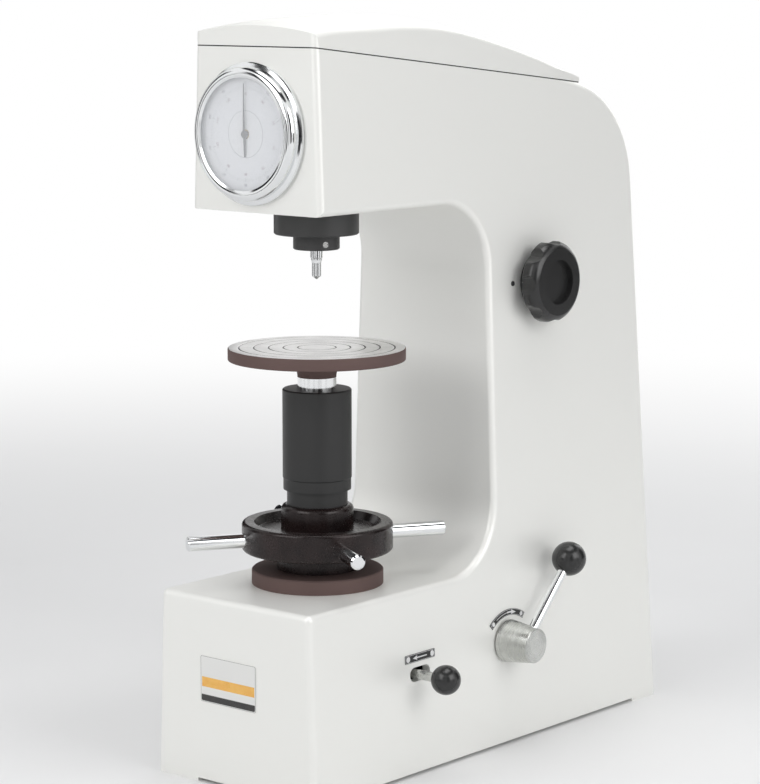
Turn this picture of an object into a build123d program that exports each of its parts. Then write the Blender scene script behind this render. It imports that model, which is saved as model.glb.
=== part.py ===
"""Manual lever-and-weight hardness tester, as separate pieces.

Millimetres. +Z is up, the dial and the throat face -Y, and the load knob and
both hand levers are on the +X side. The origin is on the axis of the elevating
screw and spindle, at the surface that the feet stand on.
"""
import os
from math import atan, cos, hypot, radians, sin

from build123d import *

os.makedirs("parts", exist_ok=True)

# ---- Clearances ---------------------------------------------------------
RUN_FIT = 0.05  # radial, a shaft that turns or slides in its bore
SEAT_GAP = 0.1  # faces of two bodies that run against each other
FREE_GAP = 0.3  # surfaces of two bodies that pass without touching
SAME_SIZE = 0.01  # two radii this near are the same edge

# ---- Cast body ----------------------------------------------------------
BENCH_HALF_WIDTH = 87.0
SIDE_DRAFT = 0.038  # half width lost per millimetre of height
BODY_WALL = 8.0
BODY_FLOOR = 12.0
BASE_FRONT_Y = -101.8
BASE_TOP_Z = 155.5
HEAD_FRONT_Y = -72.8
HEAD_BOTTOM_Z = 466.0
COLUMN_FRONT_Y = 135.8
REAR_BENCH_Y = 371.0
REAR_LEAN = 0.049  # depth lost per millimetre of height at the back
THROAT_LOWER_RADIUS = 58.0
THROAT_UPPER_RADIUS = 55.0
PART_LINE_FRONT_Z = 597.5
PART_LINE_FALL = 0.106  # drop of the cover joint per millimetre towards the back
COVER_REAR_Y = 274.0
REAR_CURVE_START_Z = 474.0
FOOT_HEIGHT = 3.0
FOOT_LENGTH = 40.0
FOOT_WIDTH = 46.0
FOOT_BOSS_RADIUS = 38.0
FRONT_EDGE_RADIUS = 5.0
REAR_EDGE_RADIUS = 8.0
COVER_EDGE_RADIUS = 5.0

# ---- Covers -------------------------------------------------------------
COVER_WALL = 3.5
GASKET_THICKNESS = 1.0
GASKET_INSET = 1.2
GASKET_WIDTH = 5.0
COVER_STATIONS = (  # distance back from the head front, shoulder height, crown
    (0.0, 607.5, 6.0),
    (50.0, 610.4, 8.5),
    (115.0, 611.6, 9.4),
    (160.0, 608.8, 9.4),
    (205.0, 601.4, 9.0),
    (250.0, 591.4, 8.4),
    (300.0, 578.2, 7.0),
    (346.8, 564.0, 5.0),
)
REAR_COVER_WIDTH = 104.0
REAR_COVER_HEIGHT = 380.0
REAR_COVER_CENTRE_Z = 250.0
REAR_COVER_THICKNESS = 3.0
REAR_COVER_LAND = 10.0
REAR_COVER_CORNER = 8.0
COVER_SCREW_RADIUS = 2.0
COVER_SCREW_LENGTH = 7.0
COVER_SCREW_HEAD_RADIUS = 3.8
COVER_SCREW_HEAD_HEIGHT = 2.4
COVER_SCREW_CROSS_WIDTH = 1.0
COVER_SCREW_CROSS_SHARE = 1.6  # of the head's radius

# ---- Elevating screw, hand wheel and anvil -----------------------------
FLANGE_RADIUS = 54.5
FLANGE_HEIGHT = 12.0
SCREW_RADIUS = 19.0
SCREW_BOTTOM_Z = 50.0
SCREW_SHOULDER_Z = 312.6
NECK_RADIUS = 16.0
KEYWAY_WIDTH = 6.0
KEYWAY_DEPTH = 3.0
KEY_HEIGHT = 30.0
GUIDE_BUSH_WALL = 5.0
GUIDE_BUSH_LENGTH = 60.0
BASE_BORE_RADIUS = 32.0
SPIGOT_DEPTH = 40.0
BEARING_INNER_RADIUS = 25.0
BEARING_OUTER_RADIUS = 31.0
BEARING_HEIGHT = 4.0
WHEEL_RADIUS = 62.5
WHEEL_BOTTOM_Z = 183.0
WHEEL_TOP_Z = 207.0
WHEEL_WEB_TOP_Z = 200.5
WHEEL_RIM_WALL = 10.0
WHEEL_HUB_RADIUS = 33.5
COLLAR_RADIUS = 30.0
COLLAR_TOP_Z = 221.6
COLLAR_ROUND = 4.5
NUT_WALL = 8.0
NUT_TOP_Z = 206.0
WHEEL_ROD_RADIUS = 6.0
WHEEL_ROD_REACH = 111.0
WHEEL_ROD_Z = 194.0
WHEEL_ROD_SEAT = 15.0
WHEEL_ROD_COUNT = 4
WHEEL_ROD_ANGLE = 58.5
WHEEL_ROD_CHAMFER = 1.2
WHEEL_EDGE_RADIUS = 3.0
WHEEL_WEB_FLARE = 3.0
SLEEVE_WALL = 3.2
LOWER_SLEEVE_RADIUS = 25.0
LOWER_SLEEVE_TOP_Z = 299.0
UPPER_SLEEVE_BOTTOM_Z = 234.2
UPPER_SLEEVE_TOP_Z = 317.6
UPPER_SLEEVE_LIP = 0.5
UPPER_SLEEVE_LIP_HEIGHT = 9.0
SLEEVE_EDGE = 1.0
ANVIL_RADIUS = 73.0
ANVIL_TOP_Z = 351.3
ANVIL_RIM = 10.0
ANVIL_EDGE = 0.8
ANVIL_HUB_Z = 327.1
ANVIL_HUB_FLARE = 12.0
ANVIL_STEM_RADIUS = 8.0
ANVIL_STEM_LENGTH = 30.0
ANVIL_GROOVE_RADII = (15.5, 27.5, 39.5, 52.0, 64.0)
ANVIL_GROOVE_WIDTH = 1.0
ANVIL_GROOVE_DEPTH = 0.6

# ---- Spindle and indenter ----------------------------------------------
HOUSING_DISC_RADIUS = 34.75
HOUSING_DISC_HEIGHT = 21.6
HOUSING_TUBE_RADIUS = 20.0
HOUSING_TOP_Z = 508.0
SPINDLE_RADIUS = 10.0
SPINDLE_TOP_Z = 526.0
SPINDLE_TRAVEL = 0.5
SPINDLE_COLLAR_RADIUS = 13.0
SPINDLE_COLLAR_HEIGHT = 4.0
SPINDLE_COLLAR_Z = 518.0
CHUCK_RADIUS = 19.0
CHUCK_BOTTOM_Z = 432.0
CHUCK_EDGE = 0.8
CHUCK_SCREW_RADIUS = 2.5
CHUCK_SCREW_LENGTH = 12.0
CHUCK_SCREW_Z = 437.0
CHUCK_SCREW_ANGLE = -25.0
CHUCK_SCREW_SLOT_WIDTH = 0.8
CHUCK_SCREW_SLOT_DEPTH = 1.2
INDENTER_TIP_Z = 407.0
INDENTER_SHANK_RADIUS = 3.17
INDENTER_SHANK_LENGTH = 8.0
INDENTER_COLLAR_RADIUS = 5.0
INDENTER_COLLAR_LENGTH = 7.4
INDENTER_BODY_RADIUS = 3.75
INDENTER_CONE_LENGTH = 2.6
INDENTER_NOSE = 0.4
INDENTER_NECK_RADIUS = 4.5
INDENTER_NECK_LENGTH = 1.4
INDENTER_FLARE_LENGTH = 2.4
INDENTER_COLLAR_EDGE = 0.5
HOUSING_BOLT_RADIUS = 2.5
HOUSING_BOLT_LENGTH = 14.0
HOUSING_BOLT_HEAD_RADIUS = 4.25
HOUSING_BOLT_HEAD_HEIGHT = 5.0
HOUSING_BOLT_CIRCLE = 27.0
HOUSING_BOLT_ANGLES = (30.0, 90.0, 150.0)

# ---- Main lever, fulcrum and hanger ------------------------------------
PIVOT_Y = -25.0
PIVOT_Z = 546.0
HANGER_Y = 228.0
LEVER_HALF_WIDTH = 10.0
LEVER_TOP_Z = 552.0
LEVER_FRONT_DEPTH = 22.0
LEVER_REAR_DEPTH = 16.0
LEVER_END = 14.0
LEVER_EDGE_RADIUS = 3.0
LOAD_KNIFE_SOCKET = 4.0
KNIFE_HEIGHT = 9.0
KNIFE_HALF_BASE = 5.2
SEAT_BLOCK_HALF_WIDTH = 8.0
SEAT_NOTCH_HALF_WIDTH = 6.0
SEAT_NOTCH_DEPTH = 4.0
SEAT_BLOCK_HEIGHT = 10.0
SIDE_PLATE_GAP = 5.0
SIDE_PLATE = 8.0
BRACKET_AHEAD = 15.0
BRACKET_BEHIND = 10.0
BRACKET_FOOT = 6.0
BRACKET_FOOT_LENGTH = 18.0
BRACKET_TOP_Z = 572.0
BRACKET_BRIDGE = 6.0
BRACKET_BOLT_RADIUS = 3.0
BRACKET_BOLT_DEPTH = 6.0
BRACKET_BOLT_HEAD_RADIUS = 4.5
BRACKET_BOLT_HEAD_HEIGHT = 4.0
BRACKET_BOLT_X = 9.0
STRAP = 4.0
STRAP_HALF_LENGTH = 14.0
STRAP_BOTTOM_Z = 512.0
STRAP_FOOT = 6.0
STRAP_TOP = 8.0
STRAP_WINDOW_MARGIN = 5.0
HANGER_ROD_RADIUS = 6.0
HANGER_FLANGE_RADIUS = 16.0
HANGER_FLANGE = 6.0
HANGER_BOTTOM_Z = 290.0
WEIGHT_RADIUS = 55.0
WEIGHT_HEIGHTS = (30.0, 26.0, 20.0)
WEIGHT_EDGE = 1.5

# ---- Oil buffer and unloading gear -------------------------------------
BUFFER_RADIUS = 28.0
BUFFER_BORE_RADIUS = 22.0
BUFFER_TOP_Z = 98.0
BUFFER_CAP = 6.0
BUFFER_LUG = 8.0
PISTON_ROD_RADIUS = 5.0
PISTON_RADIUS = 21.7
PISTON_Z = 60.0
PISTON_HEIGHT = 10.0
UNLOAD_Y = 149.5
UNLOAD_Z = 90.5
UNLOAD_HUB_RADIUS = 18.5
UNLOAD_FACE_RADIUS = 14.3
UNLOAD_HUB_LENGTH = 30.0
UNLOAD_HUB_END = 4.0
UNLOAD_HUB_EDGE = 0.6
UNLOAD_FACE_EDGE = 0.5
UNLOAD_SHAFT_RADIUS = 8.0
UNLOAD_BUSH_RADIUS = 13.0
UNLOAD_BUSH_LENGTH = 14.0
UNLOAD_ROD_OFFSET = 19.5
UNLOAD_ROD_RADIUS = 4.2
UNLOAD_ROD_LENGTH = 88.4
UNLOAD_ROD_ANGLE = 46.3
UNLOAD_BALL_RADIUS = 14.8
UNLOAD_SWING = 100.0
CAM_TOP_RADIUS = 24.0
CAM_DROP = 7.0
CAM_GAP = 0.8
CAM_BACK_RADIUS = 14.0
CAM_HALF_WIDTH = 8.0
CAM_STEPS = 10
CAMSHAFT_POST_GAP = 4.0
CAMSHAFT_POST = 8.0
ROCKER_BEHIND_HANGER = 60.0
ROCKER_PIVOT_RADIUS = 5.0
ROCKER_DEPTH = 9.0
ROCKER_ARM = 6.0
ROCKER_ARM_GAP = 8.0
ROCKER_FRONT = 12.0
ROCKER_BOSS_RADIUS = 10.0
LIFT_COLLAR_RADIUS = 18.0
LIFT_COLLAR_TAPER = 2.0
LIFT_COLLAR_HEIGHT = 8.0
POST_HALF_WIDTH = 12.0
POST_WALL = 6.0

# ---- Load selector -----------------------------------------------------
KNOB_AHEAD_OF_HANGER = 26.5
KNOB_Z = 394.5
KNOB_SKIRT_RADIUS = 24.0
KNOB_SKIRT = 8.0
KNOB_WIDEST = 14.0
KNOB_BACK_EDGE = 2.5
KNOB_RIM = 2.0
KNOB_STAR_RADIUS = 35.0
KNOB_STAR = 15.5
KNOB_LOBES = 8
KNOB_VALLEY_RADIUS = 13.0
KNOB_VALLEY_DEPTH = 3.6
KNOB_ROUND = 4.0
KNOB_DISH_RADIUS = 19.0
KNOB_DISH_DEPTH = 5.0
KNOB_BORE_END = 5.0
SELECTOR_SHAFT_RADIUS = 6.0
SELECTOR_BUSH_RADIUS = 10.0
SELECTOR_BUSH_LENGTH = 14.0
SELECTOR_CAM_RADIUS = 11.0
SELECTOR_CAM_OFFSET = 3.0
SELECTOR_CAM_X = 18.0
SELECTOR_CAM_WIDTH = 8.0
SELECTOR_BEARING_WALL = 4.0
SELECTOR_BEARING_LENGTH = 10.0
INDEX_DOT_AHEAD_OF_KNOB = 33.2
INDEX_DOT_RADIUS = 2.2

# ---- Load release lever ------------------------------------------------
SLOT_Y = 32.2
SLOT_Z = 85.0
SLOT_LENGTH = 25.8
SLOT_HEIGHT = 12.0
RELEASE_Y = 28.5
RELEASE_PIVOT_X = 30.0
RELEASE_ROD_RADIUS = 4.0
RELEASE_BALL_RADIUS = 12.3
RELEASE_BALL_X = 114.0
RELEASE_HUB_RADIUS = 11.0
RELEASE_HUB_HEIGHT = 16.0
RELEASE_PIN_RADIUS = 4.0
RELEASE_BOSS_WALL = 3.0
RELEASE_POST = 30.0
RELEASE_EAR = 8.0

# ---- Dial gauge --------------------------------------------------------
DIAL_X = -3.0
DIAL_Z = 528.5
CASE_RADIUS = 46.0
CASE_DEPTH = 21.0
CASE_WALL = 2.5
BEZEL_RADIUS = 56.5
BEZEL_FRONT_RADIUS = 53.0
BEZEL_FLANGE = 4.0
BEZEL_DEPTH = 13.0
BEZEL_FLARE = 1.8
BEZEL_EDGE = 0.8
BEZEL_BACK_EDGE = 0.6
BEZEL_SHOULDER = 4.0
GLASS_LIP = 0.4
BEZEL_LIP_RADIUS = 44.5
BEZEL_SEAT_RADIUS = 48.0
PLATE_THICKNESS = 1.0
CASE_FRONT = 6.0
GLASS_OFFSET = 10.4
GLASS_THICKNESS = 1.4
ARBOR_RADIUS = 1.0
ARBOR_BUSH_RADIUS = 4.0
POINTER_LENGTH = 40.0
POINTER_HALF_WIDTH = 1.0
POINTER_HUB_RADIUS = 2.8
POINTER_THICKNESS = 0.5
POINTER_OFFSET = 9.1
SHORT_POINTER_LENGTH = 18.0
SHORT_POINTER_HALF_WIDTH = 1.5
SHORT_POINTER_OFFSET = 8.1
SHORT_ARBOR_RADIUS = 2.2
ARBOR_DEPTH = 12.0
PLUNGER_RADIUS = 3.0
PLUNGER_STEM_RADIUS = 5.0
PLUNGER_STEM_LENGTH = 8.0
MOVEMENT_RADIUS = 22.0
MOVEMENT_DEPTH = 12.0
MOVEMENT_HALF_WIDTH = 9.0
MOVEMENT_GAP = 1.5
GAUGE_PIVOT_Y = -28.0
GAUGE_PIVOT_Z = 514.0
GAUGE_PIN_RADIUS = 2.5
GAUGE_BOSS_WALL = 2.5
GAUGE_ARM_HALF_WIDTH = 4.0
GAUGE_ARM_THICKNESS = 6.0
GAUGE_DROP = 24.0
GAUGE_TIP_Y = -12.0

# ---- Plates on the body ------------------------------------------------
NAME_PLATE_WIDTH = 61.0
NAME_PLATE_HEIGHT = 38.5
NAME_PLATE_CORNER = 1.5
NAME_PLATE_X = -6.0
NAME_PLATE_Z = 87.5
LABEL_THICKNESS = 0.6
LOAD_LABEL_LENGTH = 38.0
LOAD_LABEL_HEIGHT = 7.0
LOAD_LABEL_CORNER = 0.8
LOAD_LABEL_Z = 99.0
ARC_LABEL_Y = 152.0
ARC_LABEL_Z = 78.0
ARC_LABEL_INNER = 34.0
ARC_LABEL_OUTER = 39.5
ARC_LABEL_FROM = 57.0
ARC_LABEL_TO = 132.0


def half_width(z):
    """Half width of the cast body at a height."""
    return BENCH_HALF_WIDTH - SIDE_DRAFT * z


def rear_y(z):
    """Depth of the leaning rear face at a height."""
    return REAR_BENCH_Y - REAR_LEAN * z


def part_line_z(y):
    """Height of the joint under the top cover at a depth."""
    return PART_LINE_FRONT_Z - PART_LINE_FALL * (y - HEAD_FRONT_Y)


def side_plane(y, z):
    """Plane on the right flank, local X towards the back and local Y up."""
    draft = atan(SIDE_DRAFT)
    return Plane(origin=(half_width(z), y, z), x_dir=(0, 1, 0), z_dir=(cos(draft), 0, sin(draft)))


def turning_plane_x(x, y, z):
    """Plane for turned pieces along X: local X is the radius, local Y is +X."""
    return Plane(origin=(x, y, z), x_dir=(0, 0, 1), z_dir=(0, 1, 0))


def turning_plane_z(y):
    """Plane for turned pieces along Z at a depth: local X the radius, local Y up."""
    return Plane(origin=(0, y, 0), x_dir=(1, 0, 0), z_dir=(0, -1, 0))


def write(piece, name):
    """Label a finished piece and write it as its own STEP file."""
    piece.part.label = name
    export_step(piece.part, f"parts/{name}.step")


# ---- Derived sizes -----------------------------------------------------
REAR_TANGENT = (-REAR_LEAN, 1.0)
REAR_CURVE_START = (rear_y(REAR_CURVE_START_Z), REAR_CURVE_START_Z)
COVER_REAR_POINT = (COVER_REAR_Y, part_line_z(COVER_REAR_Y))
HEAD_FLOOR_Z = HEAD_BOTTOM_Z + BODY_WALL
BODY_REACH = REAR_BENCH_Y - BASE_FRONT_Y
ROOF_REACH = REAR_BENCH_Y - COVER_REAR_Y
OUTLINE_TOP_Z = PART_LINE_FRONT_Z + ROOF_REACH
FLANGE_TOP_Z = BASE_TOP_Z + FLANGE_HEIGHT
BUSH_RADIUS = SCREW_RADIUS + RUN_FIT + GUIDE_BUSH_WALL
BUSH_BOTTOM_Z = FLANGE_TOP_Z - GUIDE_BUSH_LENGTH
WHEEL_FOOT_Z = FLANGE_TOP_Z + FREE_GAP
LOWER_SLEEVE_BORE = LOWER_SLEEVE_RADIUS - SLEEVE_WALL
UPPER_SLEEVE_BORE = LOWER_SLEEVE_RADIUS + FREE_GAP
UPPER_SLEEVE_RADIUS = UPPER_SLEEVE_BORE + SLEEVE_WALL
ROCKER_PIVOT_Y = HANGER_Y + ROCKER_BEHIND_HANGER
KNOB_Y = HANGER_Y - KNOB_AHEAD_OF_HANGER
INDEX_DOT_Y = KNOB_Y - INDEX_DOT_AHEAD_OF_KNOB
CHUCK_TOP_Z = HEAD_BOTTOM_Z - HOUSING_DISC_HEIGHT - SPINDLE_TRAVEL - 2 * SEAT_GAP
LEVER_RISE = SPINDLE_TRAVEL * (HANGER_Y - PIVOT_Y) / -PIVOT_Y
ROCKER_REACH = ROCKER_PIVOT_Y - UNLOAD_Y
HANGER_DROP = CAM_DROP * (ROCKER_PIVOT_Y - HANGER_Y) / ROCKER_REACH
ROCKER_BOTTOM_Z = UNLOAD_Z + CAM_TOP_RADIUS + CAM_GAP
ROCKER_TOP_Z = ROCKER_BOTTOM_Z + ROCKER_DEPTH
ROCKER_PIVOT_Z = ROCKER_BOTTOM_Z + ROCKER_DEPTH / 2
KNIFE_BASE_Z = PIVOT_Z - KNIFE_HEIGHT
LOAD_KNIFE_TIP_Z = SPINDLE_TOP_Z + SEAT_GAP
LOAD_KNIFE_BASE_Z = LOAD_KNIFE_TIP_Z + KNIFE_HEIGHT + LOAD_KNIFE_SOCKET
PLATE_INNER_X = LEVER_HALF_WIDTH + SIDE_PLATE_GAP
PLATE_OUTER_X = PLATE_INNER_X + SIDE_PLATE
DIAL_PLANE = Plane(origin=(DIAL_X, HEAD_FRONT_Y, DIAL_Z), x_dir=(1, 0, 0), z_dir=(0, -1, 0))
DIAL_TURNING = Plane(origin=(DIAL_X, HEAD_FRONT_Y, DIAL_Z), x_dir=(1, 0, 0), z_dir=(0, 0, -1))
DIAL_AXIS = Axis((DIAL_X, HEAD_FRONT_Y, DIAL_Z), (0, -1, 0))


housing_bolt_spots = [
    (HOUSING_BOLT_CIRCLE * cos(radians(angle)), HOUSING_BOLT_CIRCLE * sin(radians(angle)))
    for angle in HOUSING_BOLT_ANGLES
]
BRACKET_FRONT_Y = PIVOT_Y - BRACKET_AHEAD
BRACKET_REAR_Y = PIVOT_Y + BRACKET_BEHIND
bracket_bolt_spots = [
    (side * BRACKET_BOLT_X, BRACKET_FRONT_Y + BRACKET_FOOT_LENGTH / 2)
    for side in (-1, 1)
]


def body_outline(inset, floor, smooth_top):
    """Side outline of the body, inset by a wall and carried on far above the joint.

    A smooth top runs on along the rear curve, and any other top goes straight up.
    """
    top = OUTLINE_TOP_Z
    base_front = BASE_FRONT_Y + inset
    head_front = HEAD_FRONT_Y + inset
    column = COLUMN_FRONT_Y + inset
    low_radius = THROAT_LOWER_RADIUS + inset
    high_radius = THROAT_UPPER_RADIUS + inset
    base_top = BASE_TOP_Z - inset
    head_bottom = HEAD_BOTTOM_Z + inset
    curve_start = (REAR_CURVE_START[0] - inset, REAR_CURVE_START[1])
    curve_end = (COVER_REAR_Y - inset, COVER_REAR_POINT[1] - inset)
    with BuildLine() as line:
        Polyline((column - low_radius, base_top), (base_front, base_top), (base_front, floor))
        Line((base_front, floor), (rear_y(floor) - inset, floor))
        Line((rear_y(floor) - inset, floor), curve_start)
        rear_arc = TangentArc(curve_start, curve_end, tangent=REAR_TANGENT)
        rise = rear_arc % 1 if smooth_top else Vector(0, 1)
        over = rear_arc @ 1 + ROOF_REACH * rise
        Line(curve_end, over)
        Line(over, (head_front, top))
        Polyline((head_front, top), (head_front, head_bottom), (column - high_radius, head_bottom))
        TangentArc(
            (column - high_radius, head_bottom),
            (column, head_bottom - high_radius),
            tangent=(1, 0),
        )
        Line((column, head_bottom - high_radius), (column, base_top + low_radius))
        TangentArc(
            (column, base_top + low_radius),
            (column - low_radius, base_top),
            tangent=(0, -1),
        )
    return line.edges()


def width_outline(inset, top):
    """Front outline of the tapering body, inset on both flanks."""
    low = half_width(0) - inset
    high = half_width(top) - inset
    return ((-low, 0), (low, 0), (high, top), (-high, top))


def on_flank(edge):
    """Whether an edge of the outer body runs along one of its flanks, above the bench."""
    middle = edge @ 0.5
    return abs(middle.X) > FLANGE_RADIUS - FRONT_EDGE_RADIUS and middle.Z > FOOT_HEIGHT


BEHIND_COLUMN_Y = COLUMN_FRONT_Y + REAR_EDGE_RADIUS

# ---- Cast body ----------------------------------------------------------
with BuildPart() as body_cavity:
    with BuildSketch(Plane.YZ):
        make_face(body_outline(BODY_WALL, BODY_FLOOR, False))
    extrude(amount=BENCH_HALF_WIDTH, both=True)
    with BuildSketch(Plane.XZ):
        Polygon(*width_outline(BODY_WALL, OUTLINE_TOP_Z), align=None)
    extrude(amount=BODY_REACH, both=True, mode=Mode.INTERSECT)

cover_plane = Plane(
    origin=(0, rear_y(REAR_COVER_CENTRE_Z), REAR_COVER_CENTRE_Z),
    x_dir=(-1, 0, 0),
    z_dir=(0, 1, REAR_LEAN),
)
cover_screw_spots = [
    (side * (REAR_COVER_WIDTH - REAR_COVER_LAND) / 2, end * (REAR_COVER_HEIGHT - REAR_COVER_LAND) / 2)
    for side in (-1, 1)
    for end in (-1, 0, 1)
]

with BuildPart() as body_casting:
    with BuildSketch(Plane.YZ):
        make_face(body_outline(0, 0, True))
    extrude(amount=BENCH_HALF_WIDTH, both=True)
    with BuildSketch(Plane.XZ):
        Polygon(*width_outline(0, OUTLINE_TOP_Z), align=None)
    extrude(amount=BODY_REACH, both=True, mode=Mode.INTERSECT)
    rear_edges = [e for e in body_casting.edges() if on_flank(e) and (e @ 0.5).Y > BEHIND_COLUMN_Y]
    fillet(rear_edges, radius=REAR_EDGE_RADIUS)
    front_edges = [
        edge
        for edge in body_casting.edges()
        if on_flank(edge)
        and (edge @ 0.5).Y < BEHIND_COLUMN_Y
        and (edge @ 0.5).Z < PART_LINE_FRONT_Z
    ]
    base_edge = body_casting.faces().sort_by(Axis.Y)[0].edges().sort_by(Axis.Z)[-1]
    fillet(front_edges + [base_edge], radius=FRONT_EDGE_RADIUS)
    with BuildSketch(Plane.YZ):
        Polygon(
            (BASE_FRONT_Y, part_line_z(BASE_FRONT_Y) - GASKET_THICKNESS),
            (REAR_BENCH_Y, part_line_z(REAR_BENCH_Y) - GASKET_THICKNESS),
            (REAR_BENCH_Y, OUTLINE_TOP_Z),
            (BASE_FRONT_Y, OUTLINE_TOP_Z),
            align=None,
        )
    extrude(amount=BENCH_HALF_WIDTH, both=True, mode=Mode.SUBTRACT)
    joint_face = body_casting.faces().sort_by(Axis.Z)[-1]
    add(body_cavity.part, mode=Mode.SUBTRACT)
    # boss under the flange, and the floor under the spindle
    with BuildSketch(Plane.XY.offset(BASE_TOP_Z - BODY_WALL / 2)):
        Circle(BASE_BORE_RADIUS + BODY_WALL)
    extrude(amount=-(SPIGOT_DEPTH - BODY_WALL / 2))
    with BuildSketch(Plane.XY.offset(BASE_TOP_Z)):
        Circle(BASE_BORE_RADIUS)
    extrude(amount=-SPIGOT_DEPTH, mode=Mode.SUBTRACT)
    with BuildSketch(Plane.XY.offset(HEAD_BOTTOM_Z)):
        Circle(HOUSING_TUBE_RADIUS)
        with Locations(*housing_bolt_spots):
            Circle(HOUSING_BOLT_RADIUS)
    extrude(amount=BODY_WALL, mode=Mode.SUBTRACT)
    with BuildSketch(Plane.XY.offset(HEAD_FLOOR_Z)):
        with Locations(*bracket_bolt_spots):
            Circle(BRACKET_BOLT_RADIUS)
    extrude(amount=-BRACKET_BOLT_DEPTH, mode=Mode.SUBTRACT)
    # dial opening
    with BuildSketch(DIAL_PLANE):
        Circle(CASE_RADIUS)
    extrude(amount=-BODY_WALL, mode=Mode.SUBTRACT)
    # knob and hand lever bores, and the slot of the release lever
    for bore_y, bore_z, bore_radius in (
        (KNOB_Y, KNOB_Z, SELECTOR_BUSH_RADIUS),
        (UNLOAD_Y, UNLOAD_Z, UNLOAD_BUSH_RADIUS),
    ):
        with BuildSketch(Plane.YZ.offset(half_width(bore_z) - 2 * BODY_WALL)):
            with Locations((bore_y, bore_z)):
                Circle(bore_radius)
        extrude(amount=4 * BODY_WALL, mode=Mode.SUBTRACT)
    with BuildSketch(Plane.YZ.offset(half_width(SLOT_Z) - 2 * BODY_WALL)):
        with Locations((SLOT_Y, SLOT_Z)):
            SlotOverall(SLOT_LENGTH, SLOT_HEIGHT)
    extrude(amount=4 * BODY_WALL, mode=Mode.SUBTRACT)
    # recess and window for the rear cover
    with BuildSketch(cover_plane):
        RectangleRounded(REAR_COVER_WIDTH, REAR_COVER_HEIGHT, REAR_COVER_CORNER)
    extrude(amount=-REAR_COVER_THICKNESS, mode=Mode.SUBTRACT)
    with BuildSketch(cover_plane):
        RectangleRounded(
            REAR_COVER_WIDTH - 2 * REAR_COVER_LAND,
            REAR_COVER_HEIGHT - 2 * REAR_COVER_LAND,
            REAR_COVER_CORNER,
        )
    extrude(amount=-2 * BODY_WALL, mode=Mode.SUBTRACT)
    with BuildSketch(cover_plane):
        with Locations(*cover_screw_spots):
            Circle(COVER_SCREW_RADIUS)
    extrude(amount=-COVER_SCREW_LENGTH, mode=Mode.SUBTRACT)
    # a crossed relief leaves four feet and a boss under the screw
    relief_length = BODY_REACH - 2 * FOOT_LENGTH
    relief_width = 2 * BENCH_HALF_WIDTH - 2 * FOOT_WIDTH
    with BuildSketch(Plane.XY):
        with Locations((0, BASE_FRONT_Y + BODY_REACH / 2)):
            Rectangle(2 * BENCH_HALF_WIDTH, relief_length)
            Rectangle(relief_width, 2 * BODY_REACH)
        Circle(FOOT_BOSS_RADIUS, mode=Mode.SUBTRACT)
    extrude(amount=FOOT_HEIGHT, mode=Mode.SUBTRACT)
write(body_casting, "body_casting")

# ---- Top cover and its gasket ------------------------------------------
with BuildPart() as joint_column:
    extrude(joint_face, amount=ROOF_REACH, dir=(0, 0, 1))


def cover_section(y, shoulder, crown, inset, drop):
    """One crowned section of the top cover, inset from its skin and reaching below the joint."""
    base = part_line_z(y) - drop
    top = shoulder - inset
    low = half_width(base) - inset
    high = half_width(top) - inset
    with BuildSketch(turning_plane_z(y)) as section:
        with BuildLine():
            Polyline((-high, top), (-low, base), (low, base), (high, top))
            ThreePointArc((high, top), (0, top + crown), (-high, top))
        make_face()
        shoulders = section.vertices().filter_by(lambda v: v.Y > top - FREE_GAP)
        fillet(shoulders, radius=min(COVER_EDGE_RADIUS, (top - base) / 2))
    return section.sketch


with BuildPart() as top_cover:
    for distance, shoulder, crown in COVER_STATIONS:
        add(cover_section(HEAD_FRONT_Y + distance, shoulder, crown, 0, 0))
    loft()
    inner_stations = COVER_STATIONS[:-1]
    for distance, shoulder, crown in inner_stations:
        depth = max(HEAD_FRONT_Y + distance, HEAD_FRONT_Y + COVER_WALL)
        add(cover_section(depth, shoulder, crown, COVER_WALL, GASKET_THICKNESS))
    loft(mode=Mode.SUBTRACT)
    add(joint_column.part, mode=Mode.INTERSECT)
write(top_cover, "top_cover")

with BuildPart() as cover_gasket:
    front_z = part_line_z(HEAD_FRONT_Y + GASKET_INSET)
    rear_z = part_line_z(COVER_REAR_Y - GASKET_INSET)
    with BuildSketch(Plane.YZ):
        Polygon(
            (HEAD_FRONT_Y + GASKET_INSET, front_z),
            (COVER_REAR_Y - GASKET_INSET, rear_z),
            (COVER_REAR_Y - GASKET_INSET, rear_z - GASKET_THICKNESS),
            (HEAD_FRONT_Y + GASKET_INSET, front_z - GASKET_THICKNESS),
            align=None,
        )
    extrude(amount=BENCH_HALF_WIDTH, both=True)
    with BuildSketch(Plane.XZ):
        Polygon(*width_outline(GASKET_INSET, OUTLINE_TOP_Z), align=None)
    extrude(amount=BODY_REACH, both=True, mode=Mode.INTERSECT)
    ring_inset = GASKET_INSET + GASKET_WIDTH
    ring_length = COVER_REAR_Y - HEAD_FRONT_Y - 2 * ring_inset
    with BuildSketch(Plane.XY):
        with Locations((0, (COVER_REAR_Y + HEAD_FRONT_Y) / 2)):
            Rectangle(2 * (half_width(rear_z) - ring_inset), ring_length)
    extrude(amount=OUTLINE_TOP_Z, mode=Mode.SUBTRACT)
    add(joint_column.part, mode=Mode.INTERSECT)
write(cover_gasket, "cover_gasket")

# ---- Rear cover ---------------------------------------------------------
with BuildPart() as rear_cover:
    with BuildSketch(cover_plane):
        RectangleRounded(
            REAR_COVER_WIDTH - 2 * FREE_GAP,
            REAR_COVER_HEIGHT - 2 * FREE_GAP,
            REAR_COVER_CORNER - FREE_GAP,
        )
        with Locations(*cover_screw_spots):
            Circle(COVER_SCREW_RADIUS, mode=Mode.SUBTRACT)
    extrude(amount=-REAR_COVER_THICKNESS)
write(rear_cover, "rear_cover")

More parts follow.
